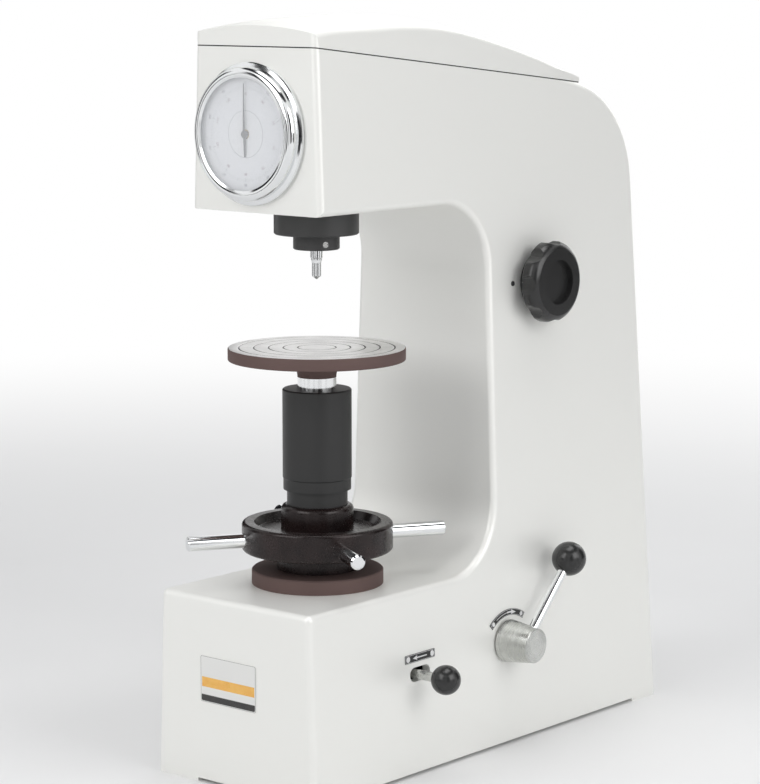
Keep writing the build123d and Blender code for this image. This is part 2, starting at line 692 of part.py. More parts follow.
with BuildPart() as rear_cover_screws:
    with BuildSketch(cover_plane):
        with Locations(*cover_screw_spots):
            Circle(COVER_SCREW_RADIUS)
    extrude(amount=-COVER_SCREW_LENGTH)
    with BuildSketch(cover_plane):
        with Locations(*cover_screw_spots):
            Circle(COVER_SCREW_HEAD_RADIUS)
    extrude(amount=COVER_SCREW_HEAD_HEIGHT)
    with BuildSketch(cover_plane.offset(COVER_SCREW_HEAD_HEIGHT)):
        with Locations(*cover_screw_spots):
            Rectangle(COVER_SCREW_CROSS_SHARE * COVER_SCREW_HEAD_RADIUS, COVER_SCREW_CROSS_WIDTH)
            Rectangle(COVER_SCREW_CROSS_WIDTH, COVER_SCREW_CROSS_SHARE * COVER_SCREW_HEAD_RADIUS)
    extrude(amount=-COVER_SCREW_HEAD_HEIGHT / 2, mode=Mode.SUBTRACT)
write(rear_cover_screws, "rear_cover_screws")

# ---- Base flange, guide bush and thrust bearing ----------------------------------------
with BuildPart() as base_flange:
    with BuildSketch(Plane.XZ):
        Polygon(
            (BUSH_RADIUS, BASE_TOP_Z - SPIGOT_DEPTH),
            (BASE_BORE_RADIUS, BASE_TOP_Z - SPIGOT_DEPTH),
            (BASE_BORE_RADIUS, BASE_TOP_Z),
            (FLANGE_RADIUS, BASE_TOP_Z),
            (FLANGE_RADIUS, FLANGE_TOP_Z - 1.0),
            (FLANGE_RADIUS - 1.0, FLANGE_TOP_Z),
            (BUSH_RADIUS, FLANGE_TOP_Z),
            align=None,
        )
    revolve(axis=Axis.Z)
write(base_flange, "base_flange")

with BuildPart() as guide_bush:
    with BuildSketch(Plane.XY.offset(BUSH_BOTTOM_Z)):
        Circle(BUSH_RADIUS)
        Circle(SCREW_RADIUS + RUN_FIT, mode=Mode.SUBTRACT)
    extrude(amount=GUIDE_BUSH_LENGTH)
    # the key stands into the screw's keyway from the bush wall
    key_inner_y = SCREW_RADIUS - KEYWAY_DEPTH + FREE_GAP
    key_outer_y = SCREW_RADIUS + GUIDE_BUSH_WALL / 2
    with BuildSketch(Plane.XY.offset(BUSH_BOTTOM_Z + (GUIDE_BUSH_LENGTH - KEY_HEIGHT) / 2)):
        with Locations((0, (key_inner_y + key_outer_y) / 2)):
            Rectangle(KEYWAY_WIDTH, key_outer_y - key_inner_y)
    extrude(amount=KEY_HEIGHT)
write(guide_bush, "guide_bush")

with BuildPart() as thrust_bearing:
    with BuildSketch(Plane.XZ):
        Polygon(
            (BEARING_INNER_RADIUS, FLANGE_TOP_Z),
            (BEARING_OUTER_RADIUS, FLANGE_TOP_Z),
            (BEARING_OUTER_RADIUS, FLANGE_TOP_Z + BEARING_HEIGHT),
            (BEARING_INNER_RADIUS, FLANGE_TOP_Z + BEARING_HEIGHT),
            align=None,
        )
    revolve(axis=Axis.Z)
write(thrust_bearing, "thrust_bearing")

# ---- Hand wheel, nut, rods and lower sleeve ----------------------------
bearing_room_z = FLANGE_TOP_Z + BEARING_HEIGHT + SEAT_GAP
bearing_room_radius = BEARING_OUTER_RADIUS + FREE_GAP
nut_radius = SCREW_RADIUS + RUN_FIT + NUT_WALL
wheel_rod_seat_radius = WHEEL_RADIUS - WHEEL_ROD_SEAT
wheel_rod_planes = [
    Plane(
        origin=(
            wheel_rod_seat_radius * cos(radians(angle)),
            wheel_rod_seat_radius * sin(radians(angle)),
            WHEEL_ROD_Z,
        ),
        z_dir=(cos(radians(angle)), sin(radians(angle)), 0),
    )
    for angle in (WHEEL_ROD_ANGLE + i * 360.0 / WHEEL_ROD_COUNT for i in range(WHEEL_ROD_COUNT))
]
with BuildPart() as handwheel:
    with BuildSketch(Plane.XZ):
        Polygon(
            (bearing_room_radius, WHEEL_FOOT_Z),
            (WHEEL_HUB_RADIUS, WHEEL_FOOT_Z),
            (WHEEL_HUB_RADIUS, WHEEL_BOTTOM_Z),
            (WHEEL_RADIUS, WHEEL_BOTTOM_Z),
            (WHEEL_RADIUS, WHEEL_TOP_Z),
            (WHEEL_RADIUS - WHEEL_RIM_WALL, WHEEL_TOP_Z),
            (WHEEL_RADIUS - WHEEL_RIM_WALL - WHEEL_WEB_FLARE, WHEEL_WEB_TOP_Z),
            (COLLAR_RADIUS, WHEEL_WEB_TOP_Z),
            (COLLAR_RADIUS, COLLAR_TOP_Z),
            (LOWER_SLEEVE_RADIUS, COLLAR_TOP_Z),
            (LOWER_SLEEVE_RADIUS, NUT_TOP_Z),
            (nut_radius, NUT_TOP_Z),
            (nut_radius, bearing_room_z),
            (bearing_room_radius, bearing_room_z),
            align=None,
        )
    revolve(axis=Axis.Z)
    rim_edges = handwheel.edges().filter_by(GeomType.CIRCLE).filter_by(
        lambda e: abs(e.radius - WHEEL_RADIUS) < SAME_SIZE
    )
    fillet(rim_edges, radius=WHEEL_EDGE_RADIUS)
    collar_edges = handwheel.edges().filter_by(GeomType.CIRCLE).filter_by(
        lambda e: abs(e.radius - COLLAR_RADIUS) < SAME_SIZE and e.center().Z > WHEEL_TOP_Z
    )
    fillet(collar_edges, radius=COLLAR_ROUND)
    for rod_plane in wheel_rod_planes:
        with BuildSketch(rod_plane):
            Circle(WHEEL_ROD_RADIUS)
        extrude(amount=2 * WHEEL_ROD_SEAT, mode=Mode.SUBTRACT)
write(handwheel, "handwheel")

with BuildPart() as handwheel_rods:
    for rod_plane in wheel_rod_planes:
        with BuildSketch(rod_plane):
            Circle(WHEEL_ROD_RADIUS)
        extrude(amount=WHEEL_ROD_REACH - wheel_rod_seat_radius)
    rod_ends = handwheel_rods.faces().filter_by(GeomType.PLANE)
    outer_ends = rod_ends.filter_by(
        lambda f: hypot(f.center().X, f.center().Y) > WHEEL_ROD_REACH - 1.0
    )
    chamfer(outer_ends.edges(), length=WHEEL_ROD_CHAMFER)
write(handwheel_rods, "handwheel_rods")

with BuildPart() as elevating_nut:
    with BuildSketch(Plane.XY.offset(bearing_room_z)):
        Circle(nut_radius)
        Circle(SCREW_RADIUS + RUN_FIT, mode=Mode.SUBTRACT)
    extrude(amount=NUT_TOP_Z - bearing_room_z)
write(elevating_nut, "elevating_nut")

with BuildPart() as lower_sleeve:
    with BuildSketch(Plane.XY.offset(NUT_TOP_Z)):
        Circle(LOWER_SLEEVE_RADIUS)
        Circle(LOWER_SLEEVE_BORE, mode=Mode.SUBTRACT)
    extrude(amount=LOWER_SLEEVE_TOP_Z - NUT_TOP_Z)
write(lower_sleeve, "lower_sleeve")

# ---- Elevating screw, upper sleeve and anvil ---------------------------
with BuildPart() as elevating_screw:
    with BuildSketch(Plane.XZ):
        Polygon(
            (0, SCREW_BOTTOM_Z),
            (SCREW_RADIUS - 2.0, SCREW_BOTTOM_Z),
            (SCREW_RADIUS, SCREW_BOTTOM_Z + 2.0),
            (SCREW_RADIUS, SCREW_SHOULDER_Z),
            (NECK_RADIUS, SCREW_SHOULDER_Z),
            (NECK_RADIUS, ANVIL_HUB_Z),
            (ANVIL_STEM_RADIUS, ANVIL_HUB_Z),
            (ANVIL_STEM_RADIUS, ANVIL_HUB_Z - ANVIL_STEM_LENGTH),
            (0, ANVIL_HUB_Z - ANVIL_STEM_LENGTH),
            align=None,
        )
    revolve(axis=Axis.Z)
    with BuildSketch(Plane.XY.offset(SCREW_BOTTOM_Z)):
        with Locations((0, SCREW_RADIUS)):
            Rectangle(KEYWAY_WIDTH + 2 * RUN_FIT, 2 * KEYWAY_DEPTH)
    extrude(amount=NUT_TOP_Z - SCREW_BOTTOM_Z, mode=Mode.SUBTRACT)
write(elevating_screw, "elevating_screw")

upper_lip_z = UPPER_SLEEVE_BOTTOM_Z + UPPER_SLEEVE_LIP_HEIGHT
with BuildPart() as upper_sleeve:
    with BuildSketch(Plane.XZ):
        Polygon(
            (UPPER_SLEEVE_BORE, UPPER_SLEEVE_BOTTOM_Z),
            (UPPER_SLEEVE_RADIUS - UPPER_SLEEVE_LIP, UPPER_SLEEVE_BOTTOM_Z),
            (UPPER_SLEEVE_RADIUS - UPPER_SLEEVE_LIP, upper_lip_z),
            (UPPER_SLEEVE_RADIUS, upper_lip_z + SLEEVE_EDGE),
            (UPPER_SLEEVE_RADIUS, UPPER_SLEEVE_TOP_Z - SLEEVE_EDGE),
            (UPPER_SLEEVE_RADIUS - SLEEVE_EDGE, UPPER_SLEEVE_TOP_Z),
            (NECK_RADIUS, UPPER_SLEEVE_TOP_Z),
            (NECK_RADIUS, SCREW_SHOULDER_Z),
            (UPPER_SLEEVE_BORE, SCREW_SHOULDER_Z),
            align=None,
        )
    revolve(axis=Axis.Z)
write(upper_sleeve, "upper_sleeve")

anvil_plate_z = ANVIL_TOP_Z - ANVIL_RIM
with BuildPart() as anvil:
    with BuildSketch(Plane.XZ):
        with BuildLine():
            Polyline(
                (NECK_RADIUS, ANVIL_HUB_Z),
                (0, ANVIL_HUB_Z),
                (0, ANVIL_TOP_Z),
                (ANVIL_RADIUS - ANVIL_EDGE, ANVIL_TOP_Z),
                (ANVIL_RADIUS, ANVIL_TOP_Z - ANVIL_EDGE),
                (ANVIL_RADIUS, anvil_plate_z + ANVIL_EDGE),
                (ANVIL_RADIUS - ANVIL_EDGE, anvil_plate_z),
                (NECK_RADIUS + ANVIL_HUB_FLARE, anvil_plate_z),
            )
            TangentArc(
                (NECK_RADIUS + ANVIL_HUB_FLARE, anvil_plate_z),
                (NECK_RADIUS, ANVIL_HUB_Z),
                tangent=(-1, 0),
            )
        make_face()
    revolve(axis=Axis.Z)
    with BuildSketch(Plane.XY.offset(ANVIL_HUB_Z)):
        Circle(ANVIL_STEM_RADIUS)
    extrude(amount=-ANVIL_STEM_LENGTH)
    with BuildSketch(Plane.XY.offset(ANVIL_TOP_Z)):
        for groove_radius in ANVIL_GROOVE_RADII:
            Circle(groove_radius + ANVIL_GROOVE_WIDTH / 2)
            Circle(groove_radius - ANVIL_GROOVE_WIDTH / 2, mode=Mode.SUBTRACT)
    extrude(amount=-ANVIL_GROOVE_DEPTH, mode=Mode.SUBTRACT)
write(anvil, "anvil")

# ---- Spindle housing, spindle and indenter -----------------------------
housing_bore = SPINDLE_RADIUS + RUN_FIT
disc_bottom_z = HEAD_BOTTOM_Z - HOUSING_DISC_HEIGHT
with BuildPart() as spindle_housing:
    with BuildSketch(Plane.XZ):
        Polygon(
            (housing_bore, disc_bottom_z),
            (HOUSING_DISC_RADIUS - 1.0, disc_bottom_z),
            (HOUSING_DISC_RADIUS, disc_bottom_z + 1.0),
            (HOUSING_DISC_RADIUS, HEAD_BOTTOM_Z),
            (HOUSING_TUBE_RADIUS, HEAD_BOTTOM_Z),
            (HOUSING_TUBE_RADIUS, HOUSING_TOP_Z),
            (housing_bore, HOUSING_TOP_Z),
            align=None,
        )
    revolve(axis=Axis.Z)
    with BuildSketch(Plane.XY.offset(HEAD_BOTTOM_Z)):
        with Locations(*housing_bolt_spots):
            Circle(HOUSING_BOLT_RADIUS)
    extrude(amount=-(HOUSING_BOLT_LENGTH - BODY_WALL), mode=Mode.SUBTRACT)
write(spindle_housing, "spindle_housing")

head_bolt_kinds = (
    (
        housing_bolt_spots,
        HOUSING_BOLT_RADIUS,
        HOUSING_BOLT_LENGTH,
        HOUSING_BOLT_HEAD_RADIUS,
        HOUSING_BOLT_HEAD_HEIGHT,
        HEAD_FLOOR_Z,
    ),
    (
        bracket_bolt_spots,
        BRACKET_BOLT_RADIUS,
        BRACKET_BOLT_DEPTH + BRACKET_FOOT,
        BRACKET_BOLT_HEAD_RADIUS,
        BRACKET_BOLT_HEAD_HEIGHT,
        HEAD_FLOOR_Z + BRACKET_FOOT,
    ),
)
with BuildPart() as head_bolts:
    for spots, shank_radius, shank_length, head_radius, head_height, seat_z in head_bolt_kinds:
        with BuildSketch(Plane.XY.offset(seat_z)):
            with Locations(*spots):
                Circle(shank_radius)
        extrude(amount=-shank_length)
        with BuildSketch(Plane.XY.offset(seat_z)):
            with Locations(*spots):
                Circle(head_radius)
        extrude(amount=head_height)
        with BuildSketch(Plane.XY.offset(seat_z + head_height)):
            with Locations(*spots):
                RegularPolygon(shank_radius, 6)
        extrude(amount=-head_height / 2, mode=Mode.SUBTRACT)
write(head_bolts, "head_bolts")

with BuildPart() as spindle:
    with BuildSketch(Plane.XZ):
        Polygon(
            (0, CHUCK_TOP_Z),
            (SPINDLE_RADIUS, CHUCK_TOP_Z),
            (SPINDLE_RADIUS, SPINDLE_COLLAR_Z),
            (SPINDLE_COLLAR_RADIUS, SPINDLE_COLLAR_Z),
            (SPINDLE_COLLAR_RADIUS, SPINDLE_COLLAR_Z + SPINDLE_COLLAR_HEIGHT),
            (SPINDLE_RADIUS, SPINDLE_COLLAR_Z + SPINDLE_COLLAR_HEIGHT),
            (SPINDLE_RADIUS, SPINDLE_TOP_Z),
            (0, SPINDLE_TOP_Z),
            align=None,
        )
    revolve(axis=Axis.Z)
write(spindle, "spindle")

screw_heading = (cos(radians(CHUCK_SCREW_ANGLE)), sin(radians(CHUCK_SCREW_ANGLE)))
chuck_screw_plane = Plane(
    origin=(CHUCK_RADIUS * screw_heading[0], CHUCK_RADIUS * screw_heading[1], CHUCK_SCREW_Z),
    z_dir=(screw_heading[0], screw_heading[1], 0),
)
shank_top_z = CHUCK_BOTTOM_Z + INDENTER_SHANK_LENGTH
with BuildPart() as indenter_chuck:
    with BuildSketch(Plane.XZ):
        Polygon(
            (INDENTER_SHANK_RADIUS, CHUCK_BOTTOM_Z),
            (CHUCK_RADIUS - CHUCK_EDGE, CHUCK_BOTTOM_Z),
            (CHUCK_RADIUS, CHUCK_BOTTOM_Z + CHUCK_EDGE),
            (CHUCK_RADIUS, CHUCK_TOP_Z),
            (0, CHUCK_TOP_Z),
            (0, shank_top_z),
            (INDENTER_SHANK_RADIUS, shank_top_z),
            align=None,
        )
    revolve(axis=Axis.Z)
    with BuildSketch(chuck_screw_plane):
        Circle(CHUCK_SCREW_RADIUS)
    extrude(amount=-CHUCK_SCREW_LENGTH, mode=Mode.SUBTRACT)
write(indenter_chuck, "indenter_chuck")

with BuildPart() as chuck_screw:
    with BuildSketch(chuck_screw_plane):
        Circle(CHUCK_SCREW_RADIUS)
    extrude(amount=-CHUCK_SCREW_LENGTH)
    with BuildSketch(chuck_screw_plane):
        Rectangle(2 * CHUCK_SCREW_RADIUS, CHUCK_SCREW_SLOT_WIDTH)
    extrude(amount=-CHUCK_SCREW_SLOT_DEPTH, mode=Mode.SUBTRACT)
write(chuck_screw, "chuck_screw")

collar_z = CHUCK_BOTTOM_Z - INDENTER_COLLAR_LENGTH
cone_z = INDENTER_TIP_Z + INDENTER_CONE_LENGTH
with BuildPart() as indenter:
    with BuildSketch(Plane.XZ):
        Polygon(
            (0, INDENTER_TIP_Z),
            (INDENTER_BODY_RADIUS - INDENTER_NOSE, cone_z),
            (INDENTER_BODY_RADIUS, cone_z + INDENTER_NOSE),
            (INDENTER_BODY_RADIUS, collar_z - INDENTER_NECK_LENGTH - INDENTER_FLARE_LENGTH),
            (INDENTER_NECK_RADIUS, collar_z - INDENTER_NECK_LENGTH),
            (INDENTER_NECK_RADIUS, collar_z),
            (INDENTER_COLLAR_RADIUS, collar_z + INDENTER_COLLAR_EDGE),
            (INDENTER_COLLAR_RADIUS, CHUCK_BOTTOM_Z),
            (INDENTER_SHANK_RADIUS, CHUCK_BOTTOM_Z),
            (INDENTER_SHANK_RADIUS, shank_top_z),
            (0, shank_top_z),
            align=None,
        )
    revolve(axis=Axis.Z)
write(indenter, "indenter")

# ---- Fulcrum bracket, seats, lever and knives --------------------------
def knife_outline(y, tip_z, base_z, half_base):
    """Triangle of a knife edge in the side view, tip first."""
    return ((y, tip_z), (y + half_base, base_z), (y - half_base, base_z))


fulcrum_knife = knife_outline(PIVOT_Y, PIVOT_Z, KNIFE_BASE_Z, KNIFE_HALF_BASE)
load_knife = knife_outline(0, LOAD_KNIFE_TIP_Z, LOAD_KNIFE_BASE_Z, KNIFE_HALF_BASE)
hanger_knife = knife_outline(HANGER_Y, PIVOT_Z, KNIFE_BASE_Z, KNIFE_HALF_BASE)
knives = (
    (fulcrum_knife, PLATE_OUTER_X + 1.0),
    (load_knife, LEVER_HALF_WIDTH),
    (hanger_knife, LEVER_HALF_WIDTH + 2.0 + STRAP + 2.0),
)
seat_bottom_z = PIVOT_Z - SEAT_NOTCH_DEPTH
seat_top_z = PIVOT_Z + SEAT_BLOCK_HEIGHT
window_bottom_z = KNIFE_BASE_Z - SEAT_NOTCH_DEPTH

with BuildPart() as fulcrum_bracket:
    with BuildSketch(Plane.YZ):
        with Locations(((BRACKET_FRONT_Y + BRACKET_REAR_Y) / 2, (HEAD_FLOOR_Z + BRACKET_TOP_Z) / 2)):
            Rectangle(BRACKET_REAR_Y - BRACKET_FRONT_Y, BRACKET_TOP_Z - HEAD_FLOOR_Z)
    extrude(amount=PLATE_OUTER_X, both=True)
    with BuildSketch(Plane.XY.offset(BRACKET_TOP_Z - BRACKET_BRIDGE)):
        with Locations((0, PIVOT_Y)):
            Rectangle(2 * PLATE_INNER_X, 4 * BRACKET_AHEAD)
    extrude(amount=-(BRACKET_TOP_Z - BRACKET_BRIDGE - HEAD_FLOOR_Z - BRACKET_FOOT), mode=Mode.SUBTRACT)
    foot_rear_y = BRACKET_FRONT_Y + BRACKET_FOOT_LENGTH
    with BuildSketch(Plane.XY.offset(HEAD_FLOOR_Z)):
        with Locations((0, foot_rear_y + BRACKET_AHEAD)):
            Rectangle(2 * PLATE_INNER_X, 2 * BRACKET_AHEAD)
    extrude(amount=BRACKET_FOOT, mode=Mode.SUBTRACT)
    with BuildSketch(Plane.YZ):
        with Locations((PIVOT_Y, (window_bottom_z + seat_top_z) / 2)):
            Rectangle(2 * SEAT_BLOCK_HALF_WIDTH, seat_top_z - window_bottom_z)
        with Locations((GAUGE_PIVOT_Y, GAUGE_PIVOT_Z)):
            Circle(GAUGE_PIN_RADIUS)
    extrude(amount=PLATE_OUTER_X, both=True, mode=Mode.SUBTRACT)
    with BuildSketch(Plane.XY.offset(HEAD_FLOOR_Z)):
        with Locations(*bracket_bolt_spots):
            Circle(BRACKET_BOLT_RADIUS)
    extrude(amount=BRACKET_FOOT, mode=Mode.SUBTRACT)
write(fulcrum_bracket, "fulcrum_bracket")

with BuildPart() as fulcrum_seats:
    for side in (-1, 1):
        with BuildSketch(Plane.YZ.offset(side * PLATE_INNER_X)):
            with Locations((PIVOT_Y, (seat_bottom_z + seat_top_z) / 2)):
                Rectangle(2 * SEAT_BLOCK_HALF_WIDTH, seat_top_z - seat_bottom_z)
            Polygon(
                *knife_outline(PIVOT_Y, PIVOT_Z + SEAT_GAP, seat_bottom_z, SEAT_NOTCH_HALF_WIDTH),
                align=None,
                mode=Mode.SUBTRACT,
            )
        extrude(amount=side * SIDE_PLATE)
write(fulcrum_seats, "fulcrum_seats")

lever_front_y = PIVOT_Y - LEVER_END
lever_rear_y = HANGER_Y + LEVER_END
with BuildPart() as main_lever:
    with BuildSketch(Plane.YZ):
        Polygon(
            (lever_front_y, LEVER_TOP_Z),
            (lever_rear_y, LEVER_TOP_Z),
            (lever_rear_y, LEVER_TOP_Z - LEVER_REAR_DEPTH),
            (0, LEVER_TOP_Z - LEVER_FRONT_DEPTH),
            (lever_front_y, LEVER_TOP_Z - LEVER_FRONT_DEPTH),
            align=None,
        )
        for triangle, reach in knives:
            Polygon(*triangle, align=None, mode=Mode.SUBTRACT)
    extrude(amount=LEVER_HALF_WIDTH, both=True)
    fillet(main_lever.edges().filter_by(Axis.Z), radius=LEVER_EDGE_RADIUS)
write(main_lever, "main_lever")

with BuildPart() as lever_knives:
    for triangle, reach in knives:
        with BuildSketch(Plane.YZ):
            Polygon(*triangle, align=None)
        extrude(amount=reach, both=True)
write(lever_knives, "lever_knives")

# ---- Hanger and weights ------------------------------------------------
strap_inner_x = LEVER_HALF_WIDTH + 2.0
strap_outer_x = strap_inner_x + STRAP
strap_notch_z = PIVOT_Z + LEVER_RISE + HANGER_DROP + FREE_GAP
strap_top_z = strap_notch_z + STRAP_TOP
window_half = STRAP_HALF_LENGTH - STRAP_WINDOW_MARGIN
with BuildPart() as hanger_strap:
    with BuildSketch(Plane.YZ):
        with Locations((HANGER_Y, (STRAP_BOTTOM_Z + strap_top_z) / 2)):
            Rectangle(2 * STRAP_HALF_LENGTH, strap_top_z - STRAP_BOTTOM_Z)
        Polygon(
            (HANGER_Y - window_half, window_bottom_z),
            (HANGER_Y + window_half, window_bottom_z),
            (HANGER_Y + window_half, strap_notch_z - window_half / 2),
            (HANGER_Y, strap_notch_z),
            (HANGER_Y - window_half, strap_notch_z - window_half / 2),
            align=None,
            mode=Mode.SUBTRACT,
        )
    extrude(amount=strap_outer_x, both=True)
    with BuildSketch(Plane.XY.offset(STRAP_BOTTOM_Z + STRAP_FOOT)):
        with Locations((0, HANGER_Y)):
            Rectangle(2 * strap_inner_x, 4 * STRAP_HALF_LENGTH)
    extrude(amount=strap_top_z - STRAP_BOTTOM_Z, mode=Mode.SUBTRACT)
    with BuildSketch(Plane.XY.offset(STRAP_BOTTOM_Z)):
        with Locations((0, HANGER_Y)):
            Circle(HANGER_ROD_RADIUS)
    extrude(amount=STRAP_FOOT, mode=Mode.SUBTRACT)
write(hanger_strap, "hanger_strap")

hanger_axis = Axis((0, HANGER_Y, 0), (0, 0, 1))
weight_base_z = HANGER_BOTTOM_Z + HANGER_FLANGE
with BuildPart() as hanger_rod:
    with BuildSketch(turning_plane_z(HANGER_Y)):
        Polygon(
            (0, HANGER_BOTTOM_Z),
            (HANGER_FLANGE_RADIUS, HANGER_BOTTOM_Z),
            (HANGER_FLANGE_RADIUS, weight_base_z),
            (HANGER_ROD_RADIUS, weight_base_z),
            (HANGER_ROD_RADIUS, STRAP_BOTTOM_Z + STRAP_FOOT),
            (0, STRAP_BOTTOM_Z + STRAP_FOOT),
            align=None,
        )
    revolve(axis=hanger_axis)
write(hanger_rod, "hanger_rod")

weight_z = weight_base_z
for weight_name, weight_height in zip(("lower_weight", "middle_weight", "upper_weight"), WEIGHT_HEIGHTS):
    with BuildPart() as weight:
        with BuildSketch(Plane.XY.offset(weight_z)):
            with Locations((0, HANGER_Y)):
                Circle(WEIGHT_RADIUS)
                Circle(HANGER_ROD_RADIUS, mode=Mode.SUBTRACT)
        extrude(amount=weight_height)
        weight_rims = weight.edges().filter_by(GeomType.CIRCLE).filter_by(
            lambda e: abs(e.radius - WEIGHT_RADIUS) < SAME_SIZE
        )
        chamfer(weight_rims, length=WEIGHT_EDGE)
    write(weight, weight_name)
    weight_z += weight_height

# ---- Oil buffer ---------------------------------------------------------
buffer_body_top_z = BUFFER_TOP_Z - BUFFER_CAP
with BuildPart() as buffer_cylinder:
    with BuildSketch(turning_plane_z(HANGER_Y)):
        Polygon(
            (0, BODY_FLOOR),
            (BUFFER_RADIUS + BUFFER_LUG, BODY_FLOOR),
            (BUFFER_RADIUS + BUFFER_LUG, BODY_FLOOR + BUFFER_CAP),
            (BUFFER_RADIUS, BODY_FLOOR + BUFFER_CAP),
            (BUFFER_RADIUS, buffer_body_top_z),
            (BUFFER_BORE_RADIUS, buffer_body_top_z),
            (BUFFER_BORE_RADIUS, BODY_FLOOR + BUFFER_CAP),
            (0, BODY_FLOOR + BUFFER_CAP),
            align=None,
        )
    revolve(axis=hanger_axis)
write(buffer_cylinder, "buffer_cylinder")

cap_bore = PISTON_ROD_RADIUS + RUN_FIT
with BuildPart() as buffer_cap:
    with BuildSketch(turning_plane_z(HANGER_Y)):
        Polygon(
            (cap_bore, buffer_body_top_z - BUFFER_CAP),
            (BUFFER_BORE_RADIUS, buffer_body_top_z - BUFFER_CAP),
            (BUFFER_BORE_RADIUS, buffer_body_top_z),
            (BUFFER_RADIUS, buffer_body_top_z),
            (BUFFER_RADIUS, BUFFER_TOP_Z),
            (cap_bore, BUFFER_TOP_Z),
            align=None,
        )
    revolve(axis=hanger_axis)
write(buffer_cap, "buffer_cap")

lift_collar_z = ROCKER_TOP_Z + FREE_GAP
with BuildPart() as piston_rod:
    with BuildSketch(turning_plane_z(HANGER_Y)):
        Polygon(
            (0, PISTON_Z),
            (PISTON_RADIUS, PISTON_Z),
            (PISTON_RADIUS, PISTON_Z + PISTON_HEIGHT),
            (PISTON_ROD_RADIUS, PISTON_Z + PISTON_HEIGHT),
            (PISTON_ROD_RADIUS, lift_collar_z),
            (ROCKER_ARM_GAP, lift_collar_z),
            (LIFT_COLLAR_RADIUS, lift_collar_z + LIFT_COLLAR_TAPER),
            (LIFT_COLLAR_RADIUS, lift_collar_z + LIFT_COLLAR_HEIGHT),
            (PISTON_ROD_RADIUS, lift_collar_z + LIFT_COLLAR_HEIGHT),
            (PISTON_ROD_RADIUS, HANGER_BOTTOM_Z),
            (0, HANGER_BOTTOM_Z),
            align=None,
        )
    revolve(axis=hanger_axis)
write(piston_rod, "piston_rod")

# ---- Unloading lever, camshaft and rocker ------------------------------
unload_axis = Axis((0, UNLOAD_Y, UNLOAD_Z), (1, 0, 0))
hub_base_x = half_width(UNLOAD_Z - UNLOAD_HUB_RADIUS) + FREE_GAP
hub_bore_depth = UNLOAD_HUB_LENGTH - UNLOAD_HUB_END
shaft_post_outer_x = -CAM_HALF_WIDTH - CAMSHAFT_POST_GAP - CAMSHAFT_POST
shaft_end_x = shaft_post_outer_x - 2.0
rod_x = half_width(UNLOAD_Z) + UNLOAD_ROD_OFFSET
rod_heading = (0, cos(radians(UNLOAD_ROD_ANGLE)), sin(radians(UNLOAD_ROD_ANGLE)))
rod_seat = UNLOAD_SHAFT_RADIUS + 1.0


def along_unload_rod(distance):
    """Point on the hand lever's axis at a distance from the camshaft."""
    return (rod_x, UNLOAD_Y + distance * rod_heading[1], UNLOAD_Z + distance * rod_heading[2])


unload_rod_plane = Plane(origin=along_unload_rod(rod_seat), x_dir=(1, 0, 0), z_dir=rod_heading)
ball_seat = UNLOAD_ROD_LENGTH - UNLOAD_BALL_RADIUS / 2

with BuildPart() as unload_camshaft:
    with BuildSketch(Plane.YZ.offset(shaft_end_x)):
        with Locations((UNLOAD_Y, UNLOAD_Z)):
            Circle(UNLOAD_SHAFT_RADIUS)
    extrude(amount=hub_base_x + hub_bore_depth - shaft_end_x)
    # snail cam: its radius falls evenly over the lever's swing
    cam_angles = [90.0 - UNLOAD_SWING * step / CAM_STEPS for step in range(CAM_STEPS + 2)]
    cam_radii = [CAM_TOP_RADIUS - CAM_DROP * step / CAM_STEPS for step in range(CAM_STEPS + 2)]
    snail = [
        (UNLOAD_Y + radius * cos(radians(angle)), UNLOAD_Z + radius * sin(radians(angle)))
        for angle, radius in zip(cam_angles, cam_radii)
    ]
    with BuildSketch(Plane.YZ):
        with BuildLine():
            Spline(*snail)
            Polyline(snail[-1], (UNLOAD_Y, UNLOAD_Z), snail[0])
        make_face()
        with Locations((UNLOAD_Y, UNLOAD_Z)):
            Circle(CAM_BACK_RADIUS)
    extrude(amount=CAM_HALF_WIDTH, both=True)
write(unload_camshaft, "unload_camshaft")

with BuildPart() as camshaft_post:
    with BuildSketch(Plane.YZ.offset(-CAM_HALF_WIDTH - CAMSHAFT_POST_GAP)):
        with Locations((UNLOAD_Y, (BODY_FLOOR + UNLOAD_Z) / 2)):
            Rectangle(2 * POST_HALF_WIDTH, UNLOAD_Z - BODY_FLOOR)
        with Locations((UNLOAD_Y, UNLOAD_Z)):
            Circle(POST_HALF_WIDTH)
            Circle(UNLOAD_SHAFT_RADIUS + RUN_FIT, mode=Mode.SUBTRACT)
    extrude(amount=-CAMSHAFT_POST)
    with BuildSketch(Plane.XY.offset(BODY_FLOOR)):
        with Locations((shaft_post_outer_x, UNLOAD_Y)):
            Rectangle(2 * POST_HALF_WIDTH, 3 * POST_HALF_WIDTH)
    extrude(amount=POST_WALL)
write(camshaft_post, "camshaft_post")

bush_inner_x = half_width(UNLOAD_Z) - UNLOAD_BUSH_LENGTH
with BuildPart() as unload_bush:
    with BuildSketch(Plane.YZ.offset(bush_inner_x)):
        with Locations((UNLOAD_Y, UNLOAD_Z)):
            Circle(UNLOAD_BUSH_RADIUS)
            Circle(UNLOAD_SHAFT_RADIUS + RUN_FIT, mode=Mode.SUBTRACT)
    extrude(amount=hub_base_x - SEAT_GAP - bush_inner_x)
write(unload_bush, "unload_bush")

